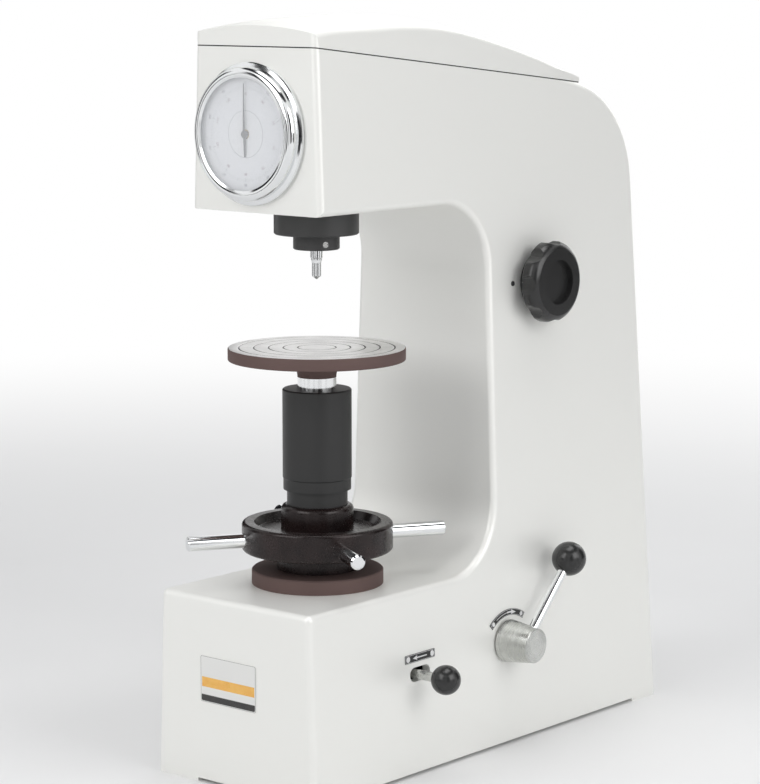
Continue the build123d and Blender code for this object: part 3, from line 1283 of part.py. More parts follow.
with BuildPart() as unload_hub:
    with BuildSketch(turning_plane_x(hub_base_x, UNLOAD_Y, UNLOAD_Z)):
        Polygon(
            (UNLOAD_SHAFT_RADIUS, 0),
            (UNLOAD_HUB_RADIUS - UNLOAD_HUB_EDGE, 0),
            (UNLOAD_HUB_RADIUS, UNLOAD_HUB_EDGE),
            (UNLOAD_FACE_RADIUS + UNLOAD_FACE_EDGE, UNLOAD_HUB_LENGTH - UNLOAD_FACE_EDGE),
            (UNLOAD_FACE_RADIUS, UNLOAD_HUB_LENGTH),
            (0, UNLOAD_HUB_LENGTH),
            (0, hub_bore_depth),
            (UNLOAD_SHAFT_RADIUS, hub_bore_depth),
            align=None,
        )
    revolve(axis=unload_axis)
    with BuildSketch(unload_rod_plane):
        Circle(UNLOAD_ROD_RADIUS)
    extrude(amount=UNLOAD_HUB_RADIUS, mode=Mode.SUBTRACT)
write(unload_hub, "unload_hub")

with BuildPart() as unload_rod:
    with BuildSketch(unload_rod_plane):
        Circle(UNLOAD_ROD_RADIUS)
    extrude(amount=ball_seat - rod_seat)
write(unload_rod, "unload_rod")

with BuildPart() as unload_ball:
    with Locations(along_unload_rod(UNLOAD_ROD_LENGTH)):
        Sphere(UNLOAD_BALL_RADIUS)
    with BuildSketch(unload_rod_plane):
        Circle(UNLOAD_ROD_RADIUS)
    extrude(amount=ball_seat - rod_seat, mode=Mode.SUBTRACT)
write(unload_ball, "unload_ball")

arm_outer_x = ROCKER_ARM_GAP + ROCKER_ARM
with BuildPart() as lift_rocker:
    rocker_front_y = UNLOAD_Y - ROCKER_FRONT
    with BuildSketch(Plane.YZ):
        with Locations(((rocker_front_y + ROCKER_PIVOT_Y) / 2, ROCKER_PIVOT_Z)):
            Rectangle(ROCKER_PIVOT_Y - rocker_front_y, ROCKER_DEPTH)
        with Locations((ROCKER_PIVOT_Y, ROCKER_PIVOT_Z)):
            Circle(ROCKER_BOSS_RADIUS)
            Circle(ROCKER_PIVOT_RADIUS + RUN_FIT, mode=Mode.SUBTRACT)
    extrude(amount=arm_outer_x, both=True)
    arm_gap_front_y = UNLOAD_Y + ROCKER_FRONT
    arm_gap_rear_y = ROCKER_PIVOT_Y - ROCKER_BOSS_RADIUS - ROCKER_ARM
    with BuildSketch(Plane.XY.offset(ROCKER_BOTTOM_Z)):
        with Locations((0, (arm_gap_front_y + arm_gap_rear_y) / 2)):
            Rectangle(2 * ROCKER_ARM_GAP, arm_gap_rear_y - arm_gap_front_y)
    extrude(amount=ROCKER_DEPTH, mode=Mode.SUBTRACT)
write(lift_rocker, "lift_rocker")

ear_inner_x = arm_outer_x + FREE_GAP
ear_outer_x = ear_inner_x + POST_WALL
with BuildPart() as rocker_post:
    with BuildSketch(Plane.YZ):
        with Locations((ROCKER_PIVOT_Y, (BODY_FLOOR + ROCKER_PIVOT_Z) / 2)):
            Rectangle(2 * POST_HALF_WIDTH, ROCKER_PIVOT_Z - BODY_FLOOR)
        with Locations((ROCKER_PIVOT_Y, ROCKER_PIVOT_Z)):
            Circle(POST_HALF_WIDTH)
            Circle(ROCKER_PIVOT_RADIUS, mode=Mode.SUBTRACT)
    extrude(amount=ear_outer_x, both=True)
    with BuildSketch(Plane.XY.offset(BODY_FLOOR + POST_WALL)):
        with Locations((0, ROCKER_PIVOT_Y)):
            Rectangle(2 * ear_inner_x, 4 * POST_HALF_WIDTH)
    extrude(amount=ROCKER_PIVOT_Z, mode=Mode.SUBTRACT)
write(rocker_post, "rocker_post")

# ---- Load selector -----------------------------------------------------
knob_base_x = half_width(KNOB_Z - KNOB_SKIRT_RADIUS) + FREE_GAP
knob_length = KNOB_SKIRT + KNOB_STAR
knob_bore = knob_length - KNOB_DISH_DEPTH - KNOB_BORE_END
inner_wall_x = half_width(KNOB_Z) - BODY_WALL
valley_centre = KNOB_STAR_RADIUS + KNOB_VALLEY_RADIUS - KNOB_VALLEY_DEPTH
with BuildPart() as knob_dome:
    with BuildSketch(turning_plane_x(knob_base_x, KNOB_Y, KNOB_Z)):
        with BuildLine():
            Polyline(
                (KNOB_DISH_RADIUS + KNOB_RIM, knob_length),
                (0, knob_length),
                (0, 0),
                (KNOB_SKIRT_RADIUS, 0),
                (KNOB_SKIRT_RADIUS, KNOB_SKIRT),
                (KNOB_STAR_RADIUS - KNOB_BACK_EDGE, KNOB_SKIRT),
                (KNOB_STAR_RADIUS, KNOB_SKIRT + KNOB_BACK_EDGE),
                (KNOB_STAR_RADIUS, KNOB_WIDEST),
            )
            TangentArc(
                (KNOB_STAR_RADIUS, KNOB_WIDEST),
                (KNOB_DISH_RADIUS + KNOB_RIM, knob_length),
                tangent=(0, 1),
            )
        make_face()
    revolve(axis=Axis((0, KNOB_Y, KNOB_Z), (1, 0, 0)))
with BuildPart() as selector_knob:
    with BuildSketch(Plane.YZ.offset(knob_base_x)):
        with Locations((KNOB_Y, KNOB_Z)):
            Circle(KNOB_SKIRT_RADIUS)
    extrude(amount=KNOB_SKIRT)
    with BuildSketch(Plane.YZ.offset(knob_base_x + KNOB_SKIRT)):
        with Locations((KNOB_Y, KNOB_Z)):
            Circle(KNOB_STAR_RADIUS)
            with PolarLocations(valley_centre, KNOB_LOBES):
                Circle(KNOB_VALLEY_RADIUS, mode=Mode.SUBTRACT)
    extrude(amount=KNOB_STAR)
    ridges = selector_knob.edges().filter_by(Axis.X).filter_by(
        lambda e: hypot(e.center().Y - KNOB_Y, e.center().Z - KNOB_Z) > KNOB_SKIRT_RADIUS
    )
    fillet(ridges, radius=KNOB_ROUND)
    add(knob_dome.part, mode=Mode.INTERSECT)
    with BuildSketch(Plane.YZ.offset(knob_base_x + knob_length)):
        with Locations((KNOB_Y, KNOB_Z)):
            Circle(KNOB_DISH_RADIUS)
    extrude(amount=-KNOB_DISH_DEPTH, mode=Mode.SUBTRACT)
    with BuildSketch(Plane.YZ.offset(knob_base_x)):
        with Locations((KNOB_Y, KNOB_Z)):
            Circle(SELECTOR_SHAFT_RADIUS)
    extrude(amount=knob_bore, mode=Mode.SUBTRACT)
write(selector_knob, "selector_knob")

with BuildPart() as selector_shaft:
    shaft_left_x = 2.0 - inner_wall_x
    with BuildSketch(Plane.YZ.offset(shaft_left_x)):
        with Locations((KNOB_Y, KNOB_Z)):
            Circle(SELECTOR_SHAFT_RADIUS)
    extrude(amount=knob_base_x + knob_bore - shaft_left_x)
    for side in (-1, 1):
        with BuildSketch(Plane.YZ.offset(side * SELECTOR_CAM_X - SELECTOR_CAM_WIDTH / 2)):
            with Locations((KNOB_Y, KNOB_Z + side * SELECTOR_CAM_OFFSET)):
                Circle(SELECTOR_CAM_RADIUS)
        extrude(amount=SELECTOR_CAM_WIDTH)
write(selector_shaft, "selector_shaft")

with BuildPart() as selector_bush:
    with BuildSketch(Plane.YZ.offset(half_width(KNOB_Z) - SELECTOR_BUSH_LENGTH)):
        with Locations((KNOB_Y, KNOB_Z)):
            Circle(SELECTOR_BUSH_RADIUS)
            Circle(SELECTOR_SHAFT_RADIUS + RUN_FIT, mode=Mode.SUBTRACT)
    extrude(amount=knob_base_x - SEAT_GAP - half_width(KNOB_Z) + SELECTOR_BUSH_LENGTH)
write(selector_bush, "selector_bush")

with BuildPart() as selector_bearing:
    with BuildSketch(Plane.YZ.offset(-inner_wall_x - BODY_WALL / 4)):
        with Locations((KNOB_Y, KNOB_Z)):
            Circle(SELECTOR_BUSH_RADIUS + SELECTOR_BEARING_WALL)
    extrude(amount=BODY_WALL / 4 + SELECTOR_BEARING_LENGTH)
    with BuildSketch(Plane.YZ.offset(-inner_wall_x + 1.0)):
        with Locations((KNOB_Y, KNOB_Z)):
            Circle(SELECTOR_SHAFT_RADIUS + RUN_FIT)
    extrude(amount=SELECTOR_BEARING_LENGTH, mode=Mode.SUBTRACT)
    add(body_casting.part, mode=Mode.SUBTRACT)
write(selector_bearing, "selector_bearing")

# ---- Load release lever ------------------------------------------------
hub_bottom_z = SLOT_Z - RELEASE_HUB_HEIGHT / 2
hub_top_z = SLOT_Z + RELEASE_HUB_HEIGHT / 2
latch_end_y = UNLOAD_Y - CAM_TOP_RADIUS - RELEASE_EAR
with BuildPart() as release_lever:
    with BuildSketch(Plane.XY.offset(hub_bottom_z)):
        with Locations((RELEASE_PIVOT_X, RELEASE_Y)):
            Circle(RELEASE_HUB_RADIUS)
    extrude(amount=RELEASE_HUB_HEIGHT)
    with BuildSketch(Plane.XY.offset(SLOT_Z - RELEASE_EAR / 2)):
        with Locations((RELEASE_PIVOT_X, (RELEASE_Y + latch_end_y) / 2)):
            Rectangle(RELEASE_EAR, latch_end_y - RELEASE_Y)
    extrude(amount=RELEASE_EAR)
    with BuildSketch(Plane.YZ.offset(RELEASE_PIVOT_X)):
        with Locations((RELEASE_Y, SLOT_Z)):
            Circle(RELEASE_ROD_RADIUS)
    extrude(amount=RELEASE_BALL_X - RELEASE_BALL_RADIUS / 2 - RELEASE_PIVOT_X)
    with BuildSketch(Plane.XY.offset(hub_bottom_z)):
        with Locations((RELEASE_PIVOT_X, RELEASE_Y)):
            Circle(RELEASE_PIN_RADIUS + RUN_FIT)
    extrude(amount=RELEASE_HUB_HEIGHT, mode=Mode.SUBTRACT)
write(release_lever, "release_lever")

with BuildPart() as release_ball:
    with Locations((RELEASE_BALL_X, RELEASE_Y, SLOT_Z)):
        Sphere(RELEASE_BALL_RADIUS)
    with BuildSketch(Plane.YZ.offset(RELEASE_PIVOT_X)):
        with Locations((RELEASE_Y, SLOT_Z)):
            Circle(RELEASE_ROD_RADIUS)
    extrude(amount=RELEASE_BALL_X - RELEASE_BALL_RADIUS / 2 - RELEASE_PIVOT_X, mode=Mode.SUBTRACT)
write(release_ball, "release_ball")

post_top_z = hub_bottom_z - SEAT_GAP
pin_bottom_z = post_top_z - 2 * RELEASE_HUB_RADIUS
with BuildPart() as release_post:
    with BuildSketch(Plane.XY.offset(BODY_FLOOR)):
        with Locations((RELEASE_PIVOT_X, RELEASE_Y)):
            Rectangle(RELEASE_POST, RELEASE_POST)
    extrude(amount=POST_WALL)
    with BuildSketch(Plane.XY.offset(BODY_FLOOR)):
        with Locations((RELEASE_PIVOT_X, RELEASE_Y)):
            Rectangle(2 * RELEASE_HUB_RADIUS, 2 * RELEASE_HUB_RADIUS)
    extrude(amount=post_top_z - BODY_FLOOR)
    with BuildSketch(Plane.XY.offset(post_top_z)):
        with Locations((RELEASE_PIVOT_X, RELEASE_Y)):
            Circle(RELEASE_PIN_RADIUS)
    extrude(amount=pin_bottom_z - post_top_z, mode=Mode.SUBTRACT)
write(release_post, "release_post")

with BuildPart() as pivot_pins:
    for pin_y, pin_z, pin_radius, pin_reach in (
        (ROCKER_PIVOT_Y, ROCKER_PIVOT_Z, ROCKER_PIVOT_RADIUS, ear_outer_x + 2.0),
        (GAUGE_PIVOT_Y, GAUGE_PIVOT_Z, GAUGE_PIN_RADIUS, PLATE_OUTER_X + 1.0),
    ):
        with BuildSketch(Plane.YZ):
            with Locations((pin_y, pin_z)):
                Circle(pin_radius)
        extrude(amount=pin_reach, both=True)
    with BuildSketch(Plane.XY.offset(pin_bottom_z)):
        with Locations((RELEASE_PIVOT_X, RELEASE_Y)):
            Circle(RELEASE_PIN_RADIUS)
    extrude(amount=hub_top_z + SEAT_GAP - pin_bottom_z)
    with BuildSketch(Plane.XY.offset(hub_top_z + SEAT_GAP)):
        with Locations((RELEASE_PIVOT_X, RELEASE_Y)):
            Circle(RELEASE_PIN_RADIUS + RELEASE_BOSS_WALL)
    extrude(amount=RELEASE_PIN_RADIUS)
write(pivot_pins, "pivot_pins")

# ---- Dial gauge --------------------------------------------------------
plunger_z = GAUGE_PIVOT_Z - GAUGE_DROP
case_inner_radius = CASE_RADIUS - CASE_WALL
case_floor = CASE_WALL - CASE_DEPTH
movement_front = case_floor + MOVEMENT_DEPTH
plunger_spot = (0, plunger_z - DIAL_Z)
plate_back = CASE_FRONT + FREE_GAP
with BuildPart() as gauge_case:
    with BuildSketch(DIAL_TURNING):
        Polygon(
            (0, -CASE_DEPTH),
            (CASE_RADIUS, -CASE_DEPTH),
            (CASE_RADIUS, CASE_FRONT),
            (case_inner_radius, CASE_FRONT),
            (case_inner_radius, case_floor),
            (0, case_floor),
            align=None,
        )
    revolve(axis=DIAL_AXIS)
    with BuildSketch(DIAL_PLANE.offset(-CASE_DEPTH)):
        with Locations(plunger_spot):
            Circle(PLUNGER_STEM_RADIUS)
    extrude(amount=-PLUNGER_STEM_LENGTH)
    with BuildSketch(DIAL_PLANE.offset(case_floor)):
        with Locations(plunger_spot):
            Circle(PLUNGER_RADIUS + RUN_FIT)
    extrude(amount=-(CASE_WALL + PLUNGER_STEM_LENGTH), mode=Mode.SUBTRACT)
write(gauge_case, "gauge_case")

with BuildPart() as gauge_movement:
    with BuildSketch(DIAL_PLANE.offset(case_floor)):
        Circle(MOVEMENT_RADIUS)
        block_height = case_inner_radius - MOVEMENT_GAP
        with Locations((0, -block_height / 2)):
            Rectangle(2 * MOVEMENT_HALF_WIDTH, block_height)
        with Locations(plunger_spot):
            Circle(PLUNGER_RADIUS + RUN_FIT, mode=Mode.SUBTRACT)
    extrude(amount=MOVEMENT_DEPTH)
    with BuildSketch(DIAL_PLANE.offset(movement_front)):
        Circle(ARBOR_BUSH_RADIUS)
    extrude(amount=plate_back + PLATE_THICKNESS + FREE_GAP - movement_front)
    with BuildSketch(DIAL_PLANE.offset(CASE_FRONT + CASE_FRONT)):
        Circle(SHORT_ARBOR_RADIUS + RUN_FIT)
    extrude(amount=-(2 * CASE_FRONT + ARBOR_DEPTH), mode=Mode.SUBTRACT)
write(gauge_movement, "gauge_movement")

bezel_bore = CASE_RADIUS + SEAT_GAP
glass_front = GLASS_OFFSET + GLASS_THICKNESS
with BuildPart() as bezel_ring:
    with BuildSketch(DIAL_TURNING):
        with BuildLine():
            Polyline(
                (BEZEL_LIP_RADIUS + BEZEL_FLARE, BEZEL_DEPTH),
                (BEZEL_LIP_RADIUS, glass_front + GLASS_LIP),
                (BEZEL_LIP_RADIUS, glass_front),
                (BEZEL_SEAT_RADIUS, glass_front),
                (BEZEL_SEAT_RADIUS, plate_back),
                (bezel_bore, plate_back),
                (bezel_bore, FREE_GAP),
                (BEZEL_RADIUS - BEZEL_BACK_EDGE, FREE_GAP),
                (BEZEL_RADIUS, FREE_GAP + BEZEL_BACK_EDGE),
                (BEZEL_RADIUS, BEZEL_FLANGE - BEZEL_EDGE),
                (BEZEL_RADIUS - BEZEL_EDGE, BEZEL_FLANGE),
                (BEZEL_FRONT_RADIUS, BEZEL_FLANGE + BEZEL_EDGE),
                (BEZEL_FRONT_RADIUS, BEZEL_DEPTH - BEZEL_SHOULDER),
            )
            ThreePointArc(
                (BEZEL_FRONT_RADIUS, BEZEL_DEPTH - BEZEL_SHOULDER),
                (BEZEL_FRONT_RADIUS - BEZEL_FLARE, BEZEL_DEPTH - 1.0),
                (BEZEL_LIP_RADIUS + BEZEL_FLARE, BEZEL_DEPTH),
            )
        make_face()
    revolve(axis=DIAL_AXIS)
write(bezel_ring, "bezel_ring")

with BuildPart() as dial_plate:
    with BuildSketch(DIAL_PLANE.offset(plate_back)):
        Circle(BEZEL_SEAT_RADIUS)
        Circle(ARBOR_BUSH_RADIUS + FREE_GAP, mode=Mode.SUBTRACT)
    extrude(amount=PLATE_THICKNESS)
write(dial_plate, "dial_plate")

with BuildPart() as dial_glass:
    with BuildSketch(DIAL_PLANE.offset(GLASS_OFFSET)):
        Circle(BEZEL_SEAT_RADIUS)
    extrude(amount=GLASS_THICKNESS)
write(dial_glass, "dial_glass")

with BuildPart() as short_pointer:
    with BuildSketch(DIAL_PLANE.offset(SHORT_POINTER_OFFSET)):
        Circle(ARBOR_BUSH_RADIUS - 1.0)
        Polygon(
            (-SHORT_POINTER_HALF_WIDTH, 0),
            (-SHORT_POINTER_HALF_WIDTH / 2, -SHORT_POINTER_LENGTH),
            (SHORT_POINTER_HALF_WIDTH / 2, -SHORT_POINTER_LENGTH),
            (SHORT_POINTER_HALF_WIDTH, 0),
            align=None,
        )
    extrude(amount=POINTER_THICKNESS)
    with BuildSketch(DIAL_PLANE.offset(SHORT_POINTER_OFFSET)):
        Circle(SHORT_ARBOR_RADIUS)
    extrude(amount=-(SHORT_POINTER_OFFSET + ARBOR_DEPTH - 2.0))
    with BuildSketch(DIAL_PLANE.offset(SHORT_POINTER_OFFSET + POINTER_THICKNESS)):
        Circle(ARBOR_RADIUS + RUN_FIT)
    extrude(amount=-2 * CASE_DEPTH, mode=Mode.SUBTRACT)
write(short_pointer, "short_pointer")

with BuildPart() as long_pointer:
    with BuildSketch(DIAL_PLANE.offset(POINTER_OFFSET)):
        Circle(POINTER_HUB_RADIUS)
        Polygon(
            (-POINTER_HALF_WIDTH, 0),
            (-POINTER_HALF_WIDTH / 4, POINTER_LENGTH),
            (POINTER_HALF_WIDTH / 4, POINTER_LENGTH),
            (POINTER_HALF_WIDTH, 0),
            align=None,
        )
    extrude(amount=POINTER_THICKNESS)
    with BuildSketch(DIAL_PLANE.offset(POINTER_OFFSET)):
        Circle(ARBOR_RADIUS)
    extrude(amount=-(POINTER_OFFSET + ARBOR_DEPTH - 1.0))
write(long_pointer, "long_pointer")

arm_front_y = GAUGE_PIVOT_Y - GAUGE_ARM_THICKNESS / 2
arm_top_z = SPINDLE_COLLAR_Z - FREE_GAP
with BuildPart() as gauge_lever:
    with BuildSketch(Plane.YZ):
        with Locations((GAUGE_PIVOT_Y, GAUGE_PIVOT_Z)):
            Circle(GAUGE_PIN_RADIUS + RUN_FIT + GAUGE_BOSS_WALL)
    extrude(amount=PLATE_INNER_X - FREE_GAP, both=True)
    with BuildSketch(Plane.YZ):
        with Locations(((GAUGE_PIVOT_Y + GAUGE_TIP_Y) / 2, arm_top_z - GAUGE_ARM_THICKNESS / 2)):
            Rectangle(GAUGE_TIP_Y - GAUGE_PIVOT_Y, GAUGE_ARM_THICKNESS)
        arm_foot_z = plunger_z - PLUNGER_RADIUS - 1.0
        with Locations((GAUGE_PIVOT_Y, (arm_foot_z + GAUGE_PIVOT_Z) / 2)):
            Rectangle(GAUGE_ARM_THICKNESS, GAUGE_PIVOT_Z - arm_foot_z)
    extrude(amount=GAUGE_ARM_HALF_WIDTH, both=True)
    with BuildSketch(Plane.YZ):
        with Locations((GAUGE_PIVOT_Y, GAUGE_PIVOT_Z)):
            Circle(GAUGE_PIN_RADIUS + RUN_FIT)
    extrude(amount=PLATE_INNER_X, both=True, mode=Mode.SUBTRACT)
write(gauge_lever, "gauge_lever")

plunger_rear = HEAD_FRONT_Y - arm_front_y + FREE_GAP
with BuildPart() as gauge_plunger:
    with BuildSketch(DIAL_PLANE.offset(plunger_rear)):
        with Locations(plunger_spot):
            Circle(PLUNGER_RADIUS)
    extrude(amount=movement_front - plunger_rear - 2.0)
write(gauge_plunger, "gauge_plunger")

# ---- Plates and marks on the body --------------------------------------
plate_spot = (NAME_PLATE_X, BASE_FRONT_Y, NAME_PLATE_Z)
plate_plane = Plane(origin=plate_spot, x_dir=(1, 0, 0), z_dir=(0, -1, 0))
with BuildPart() as name_plate:
    with BuildSketch(plate_plane):
        RectangleRounded(NAME_PLATE_WIDTH, NAME_PLATE_HEIGHT, NAME_PLATE_CORNER)
    extrude(amount=LABEL_THICKNESS)
write(name_plate, "name_plate")

with BuildPart() as flank_labels:
    with BuildSketch(side_plane(SLOT_Y, LOAD_LABEL_Z)):
        RectangleRounded(LOAD_LABEL_LENGTH, LOAD_LABEL_HEIGHT, LOAD_LABEL_CORNER)
    extrude(amount=LABEL_THICKNESS)
    with BuildSketch(side_plane(ARC_LABEL_Y, ARC_LABEL_Z)):
        with BuildLine():
            arc_span = ARC_LABEL_TO - ARC_LABEL_FROM
            outer_arc = CenterArc((0, 0), ARC_LABEL_OUTER, ARC_LABEL_FROM, arc_span)
            inner_arc = CenterArc((0, 0), ARC_LABEL_INNER, ARC_LABEL_FROM, arc_span)
            Line(outer_arc @ 0, inner_arc @ 0)
            Line(outer_arc @ 1, inner_arc @ 1)
        make_face()
    extrude(amount=LABEL_THICKNESS)
    with BuildSketch(side_plane(INDEX_DOT_Y, KNOB_Z)):
        Circle(INDEX_DOT_RADIUS)
    extrude(amount=LABEL_THICKNESS)
write(flank_labels, "flank_labels")
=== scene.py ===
"""Looks for a bench hardness tester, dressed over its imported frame."""

import logging
import math
from dataclasses import dataclass, replace
from enum import Enum

import bpy
from mathutils import Matrix, Vector


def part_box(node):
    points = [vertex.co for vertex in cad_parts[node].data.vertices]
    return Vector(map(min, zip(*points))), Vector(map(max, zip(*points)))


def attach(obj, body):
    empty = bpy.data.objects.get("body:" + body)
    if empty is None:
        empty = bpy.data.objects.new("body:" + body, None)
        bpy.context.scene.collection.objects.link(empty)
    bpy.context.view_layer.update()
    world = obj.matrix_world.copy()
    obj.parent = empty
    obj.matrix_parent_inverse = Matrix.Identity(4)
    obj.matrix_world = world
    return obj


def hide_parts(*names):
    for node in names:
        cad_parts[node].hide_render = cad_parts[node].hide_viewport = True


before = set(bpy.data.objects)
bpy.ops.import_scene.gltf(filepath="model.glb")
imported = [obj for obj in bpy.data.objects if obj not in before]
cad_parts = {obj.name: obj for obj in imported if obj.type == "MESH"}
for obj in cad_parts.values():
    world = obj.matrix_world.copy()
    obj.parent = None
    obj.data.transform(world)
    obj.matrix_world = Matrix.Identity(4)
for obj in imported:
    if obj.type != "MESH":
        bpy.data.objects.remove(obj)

LOG = logging.getLogger("hardness_tester")
MM = 0.001

Colour = tuple[float, float, float]
Point = tuple[float, float, float]
Flat = tuple[float, float]


def linear(red: int, green: int, blue: int) -> Colour:
    """Turn a colour as a screen shows it into the linear values a shader takes.

    Args:
        red: Red from 0 to 255.
        green: Green from 0 to 255.
        blue: Blue from 0 to 255.

    Returns:
        The linear colour.
    """
    shares = (value / 255 for value in (red, green, blue))
    return tuple(s / 12.92 if s <= 0.04045 else ((s + 0.055) / 1.055) ** 2.4 for s in shares)


# ---- Node graphs ---------------------------------------------------------


class Graph:
    """A node tree being laid out, with short ways to add and join nodes."""

    def __init__(self, tree: bpy.types.NodeTree) -> None:
        """Start from an empty tree.

        Args:
            tree: The tree to lay out; what it holds is cleared.
        """
        self.tree = tree
        tree.nodes.clear()

    def add(self, kind: str, inputs: dict | None = None, **settings) -> bpy.types.Node:
        """Add one node.

        Args:
            kind: The node's type, without its ShaderNode prefix.
            inputs: Socket name or number to a value, or to the socket that feeds it.
            settings: Properties of the node itself.

        Returns:
            The new node.
        """
        node = self.tree.nodes.new(kind if kind.startswith("NodeGroup") else f"ShaderNode{kind}")
        for name, value in settings.items():
            setattr(node, name, value)
        for name, value in (inputs or {}).items():
            self.feed(node.inputs[name], value)
        return node

    def feed(self, socket: bpy.types.NodeSocket, value) -> None:
        """Give a socket its value, or join it to the socket that feeds it."""
        if isinstance(value, bpy.types.NodeSocket):
            self.tree.links.new(value, socket)
        elif isinstance(value, tuple) and socket.type == "RGBA" and len(value) == 3:
            socket.default_value = (*value, 1.0)
        else:
            socket.default_value = value

    def sum(self, operation: str, *values) -> bpy.types.NodeSocket:
        """Add a Math node over the values and give back its result."""
        node = self.add("Math", operation=operation)
        for place, value in enumerate(values):
            self.feed(node.inputs[place], value)
        return node.outputs[0]

    def blend(self, factor, first, second) -> bpy.types.NodeSocket:
        """Mix two colours by a factor and give back the colour."""
        node = self.add("Mix", data_type="RGBA")
        for name, value in (("Factor_Float", factor), ("A_Color", first), ("B_Color", second)):
            self.feed(next(s for s in node.inputs if s.identifier == name), value)
        return next(s for s in node.outputs if s.identifier == "Result_Color")

    def span(self, value, low, high, to_low=0.0, to_high=1.0) -> bpy.types.NodeSocket:
        """Map a value from one range to another, clamped, and give it back."""
        inputs = {0: value, 1: low, 2: high, 3: to_low, 4: to_high}
        return self.add("MapRange", inputs, interpolation_type="SMOOTHSTEP").outputs[0]

    def noise(self, vector, scale, detail: float = 3.0) -> bpy.types.NodeSocket:
        """Add a noise texture and give back its value."""
        inputs = {"Vector": vector, "Scale": scale, "Detail": detail}
        return self.add("TexNoise", inputs).outputs[0]

    def effect(self, name: str, **inputs) -> bpy.types.Node:
        """Place one of the shared effects with its own values."""
        node = self.add("Group", node_tree=EFFECTS[name])
        for socket, value in inputs.items():
            self.feed(node.inputs[socket], value)
        return node


def new_effect(name: str, takes: dict[str, str], gives: dict[str, str]) -> tuple[Graph, dict]:
    """Start a shared effect as a node group.

    Args:
        name: What the effect is called.
        takes: Input name to the socket's kind.
        gives: Output name to the socket's kind.

    Returns:
        The graph, and a dict of the input sockets with the output node at "out".
    """
    tree = bpy.data.node_groups.new(name, "ShaderNodeTree")
    graph = Graph(tree)
    for socket, kind in takes.items():
        tree.interface.new_socket(socket, in_out="INPUT", socket_type=f"NodeSocket{kind}")
    for socket, kind in gives.items():
        tree.interface.new_socket(socket, in_out="OUTPUT", socket_type=f"NodeSocket{kind}")
    ends = {socket.name: socket for socket in graph.add("NodeGroupInput").outputs}
    ends["out"] = graph.add("NodeGroupOutput")
    EFFECTS[name] = tree
    return graph, ends


EFFECTS: dict[str, bpy.types.NodeTree] = {}


def build_effects() -> None:
    """Build each shared effect once: cloudy tone, fine grain, turned marks and worn edges."""
    graph, ends = new_effect(
        "cloudy_tone",
        {"Vector": "Vector", "Scale": "Float", "Light": "Color", "Dark": "Color"},
        {"Colour": "Color", "Mask": "Float"},
    )
    clouds = graph.span(graph.noise(ends["Vector"], ends["Scale"], 5.0), 0.32, 0.68)
    graph.feed(ends["out"].inputs["Mask"], clouds)
    graph.feed(ends["out"].inputs["Colour"], graph.blend(clouds, ends["Dark"], ends["Light"]))

    graph, ends = new_effect(
        "fine_grain",
        {"Vector": "Vector", "Scale": "Float", "Smooth": "Float", "Rough": "Float"},
        {"Roughness": "Float", "Height": "Float"},
    )
    grain = graph.noise(ends["Vector"], ends["Scale"], 4.0)
    patches = graph.noise(ends["Vector"], graph.sum("MULTIPLY", ends["Scale"], 0.06), 2.0)
    mixed = graph.sum("MULTIPLY_ADD", grain, 0.5, graph.sum("MULTIPLY", patches, 0.5))
    roughness = graph.span(mixed, 0.34, 0.66, ends["Smooth"], ends["Rough"])
    graph.feed(ends["out"].inputs["Roughness"], roughness)
    graph.feed(ends["out"].inputs["Height"], grain)

    graph, ends = new_effect(
        "turned_marks",
        {"Vector": "Vector", "Scale": "Float"},
        {"Mask": "Float"},
    )
    parts = graph.add("SeparateXYZ", {0: ends["Vector"]}).outputs
    radius = graph.sum("SQRT", graph.sum(
        "MULTIPLY_ADD", parts[0], parts[0], graph.sum("MULTIPLY", parts[1], parts[1])))
    place = graph.add("CombineXYZ", {0: radius, 1: parts[2], 2: 0.0}).outputs[0]
    broad = graph.noise(place, graph.sum("MULTIPLY", ends["Scale"], 0.22), 1.0)
    rings = graph.sum("MULTIPLY_ADD", graph.noise(place, ends["Scale"], 3.0), 0.6,
                      graph.sum("MULTIPLY", broad, 0.4))
    graph.feed(ends["out"].inputs["Mask"], graph.span(rings, 0.33, 0.67))

    graph, ends = new_effect(
        "worn_edge",
        {"Vector": "Vector", "Radius": "Float", "Amount": "Float"},
        {"Mask": "Float", "Normal": "Vector"},
    )
    rounded = graph.add("Bevel", {"Radius": ends["Radius"]}, samples=4).outputs[0]
    face = graph.add("NewGeometry").outputs["Normal"]
    product = graph.add("VectorMath", {0: rounded, 1: face}, operation="DOT_PRODUCT").outputs[1]
    edge = graph.span(product, 0.98, 0.82)
    patchy = graph.span(graph.noise(ends["Vector"], 260.0, 3.0), 0.3, 0.6)
    mask = graph.sum("MULTIPLY", graph.sum("MULTIPLY", edge, patchy), ends["Amount"])
    graph.feed(ends["out"].inputs["Mask"], mask)
    graph.feed(ends["out"].inputs["Normal"], rounded)


# ---- Finishes ------------------------------------------------------------


class Lathe(Enum):
    """Which way a piece lay in the lathe, as the turn that brings its axis to Z."""

    ALONG_X = (0.0, math.pi / 2, 0.0)
    ALONG_Y = (math.pi / 2, 0.0, 0.0)
    ALONG_Z = (0.0, 0.0, 0.0)


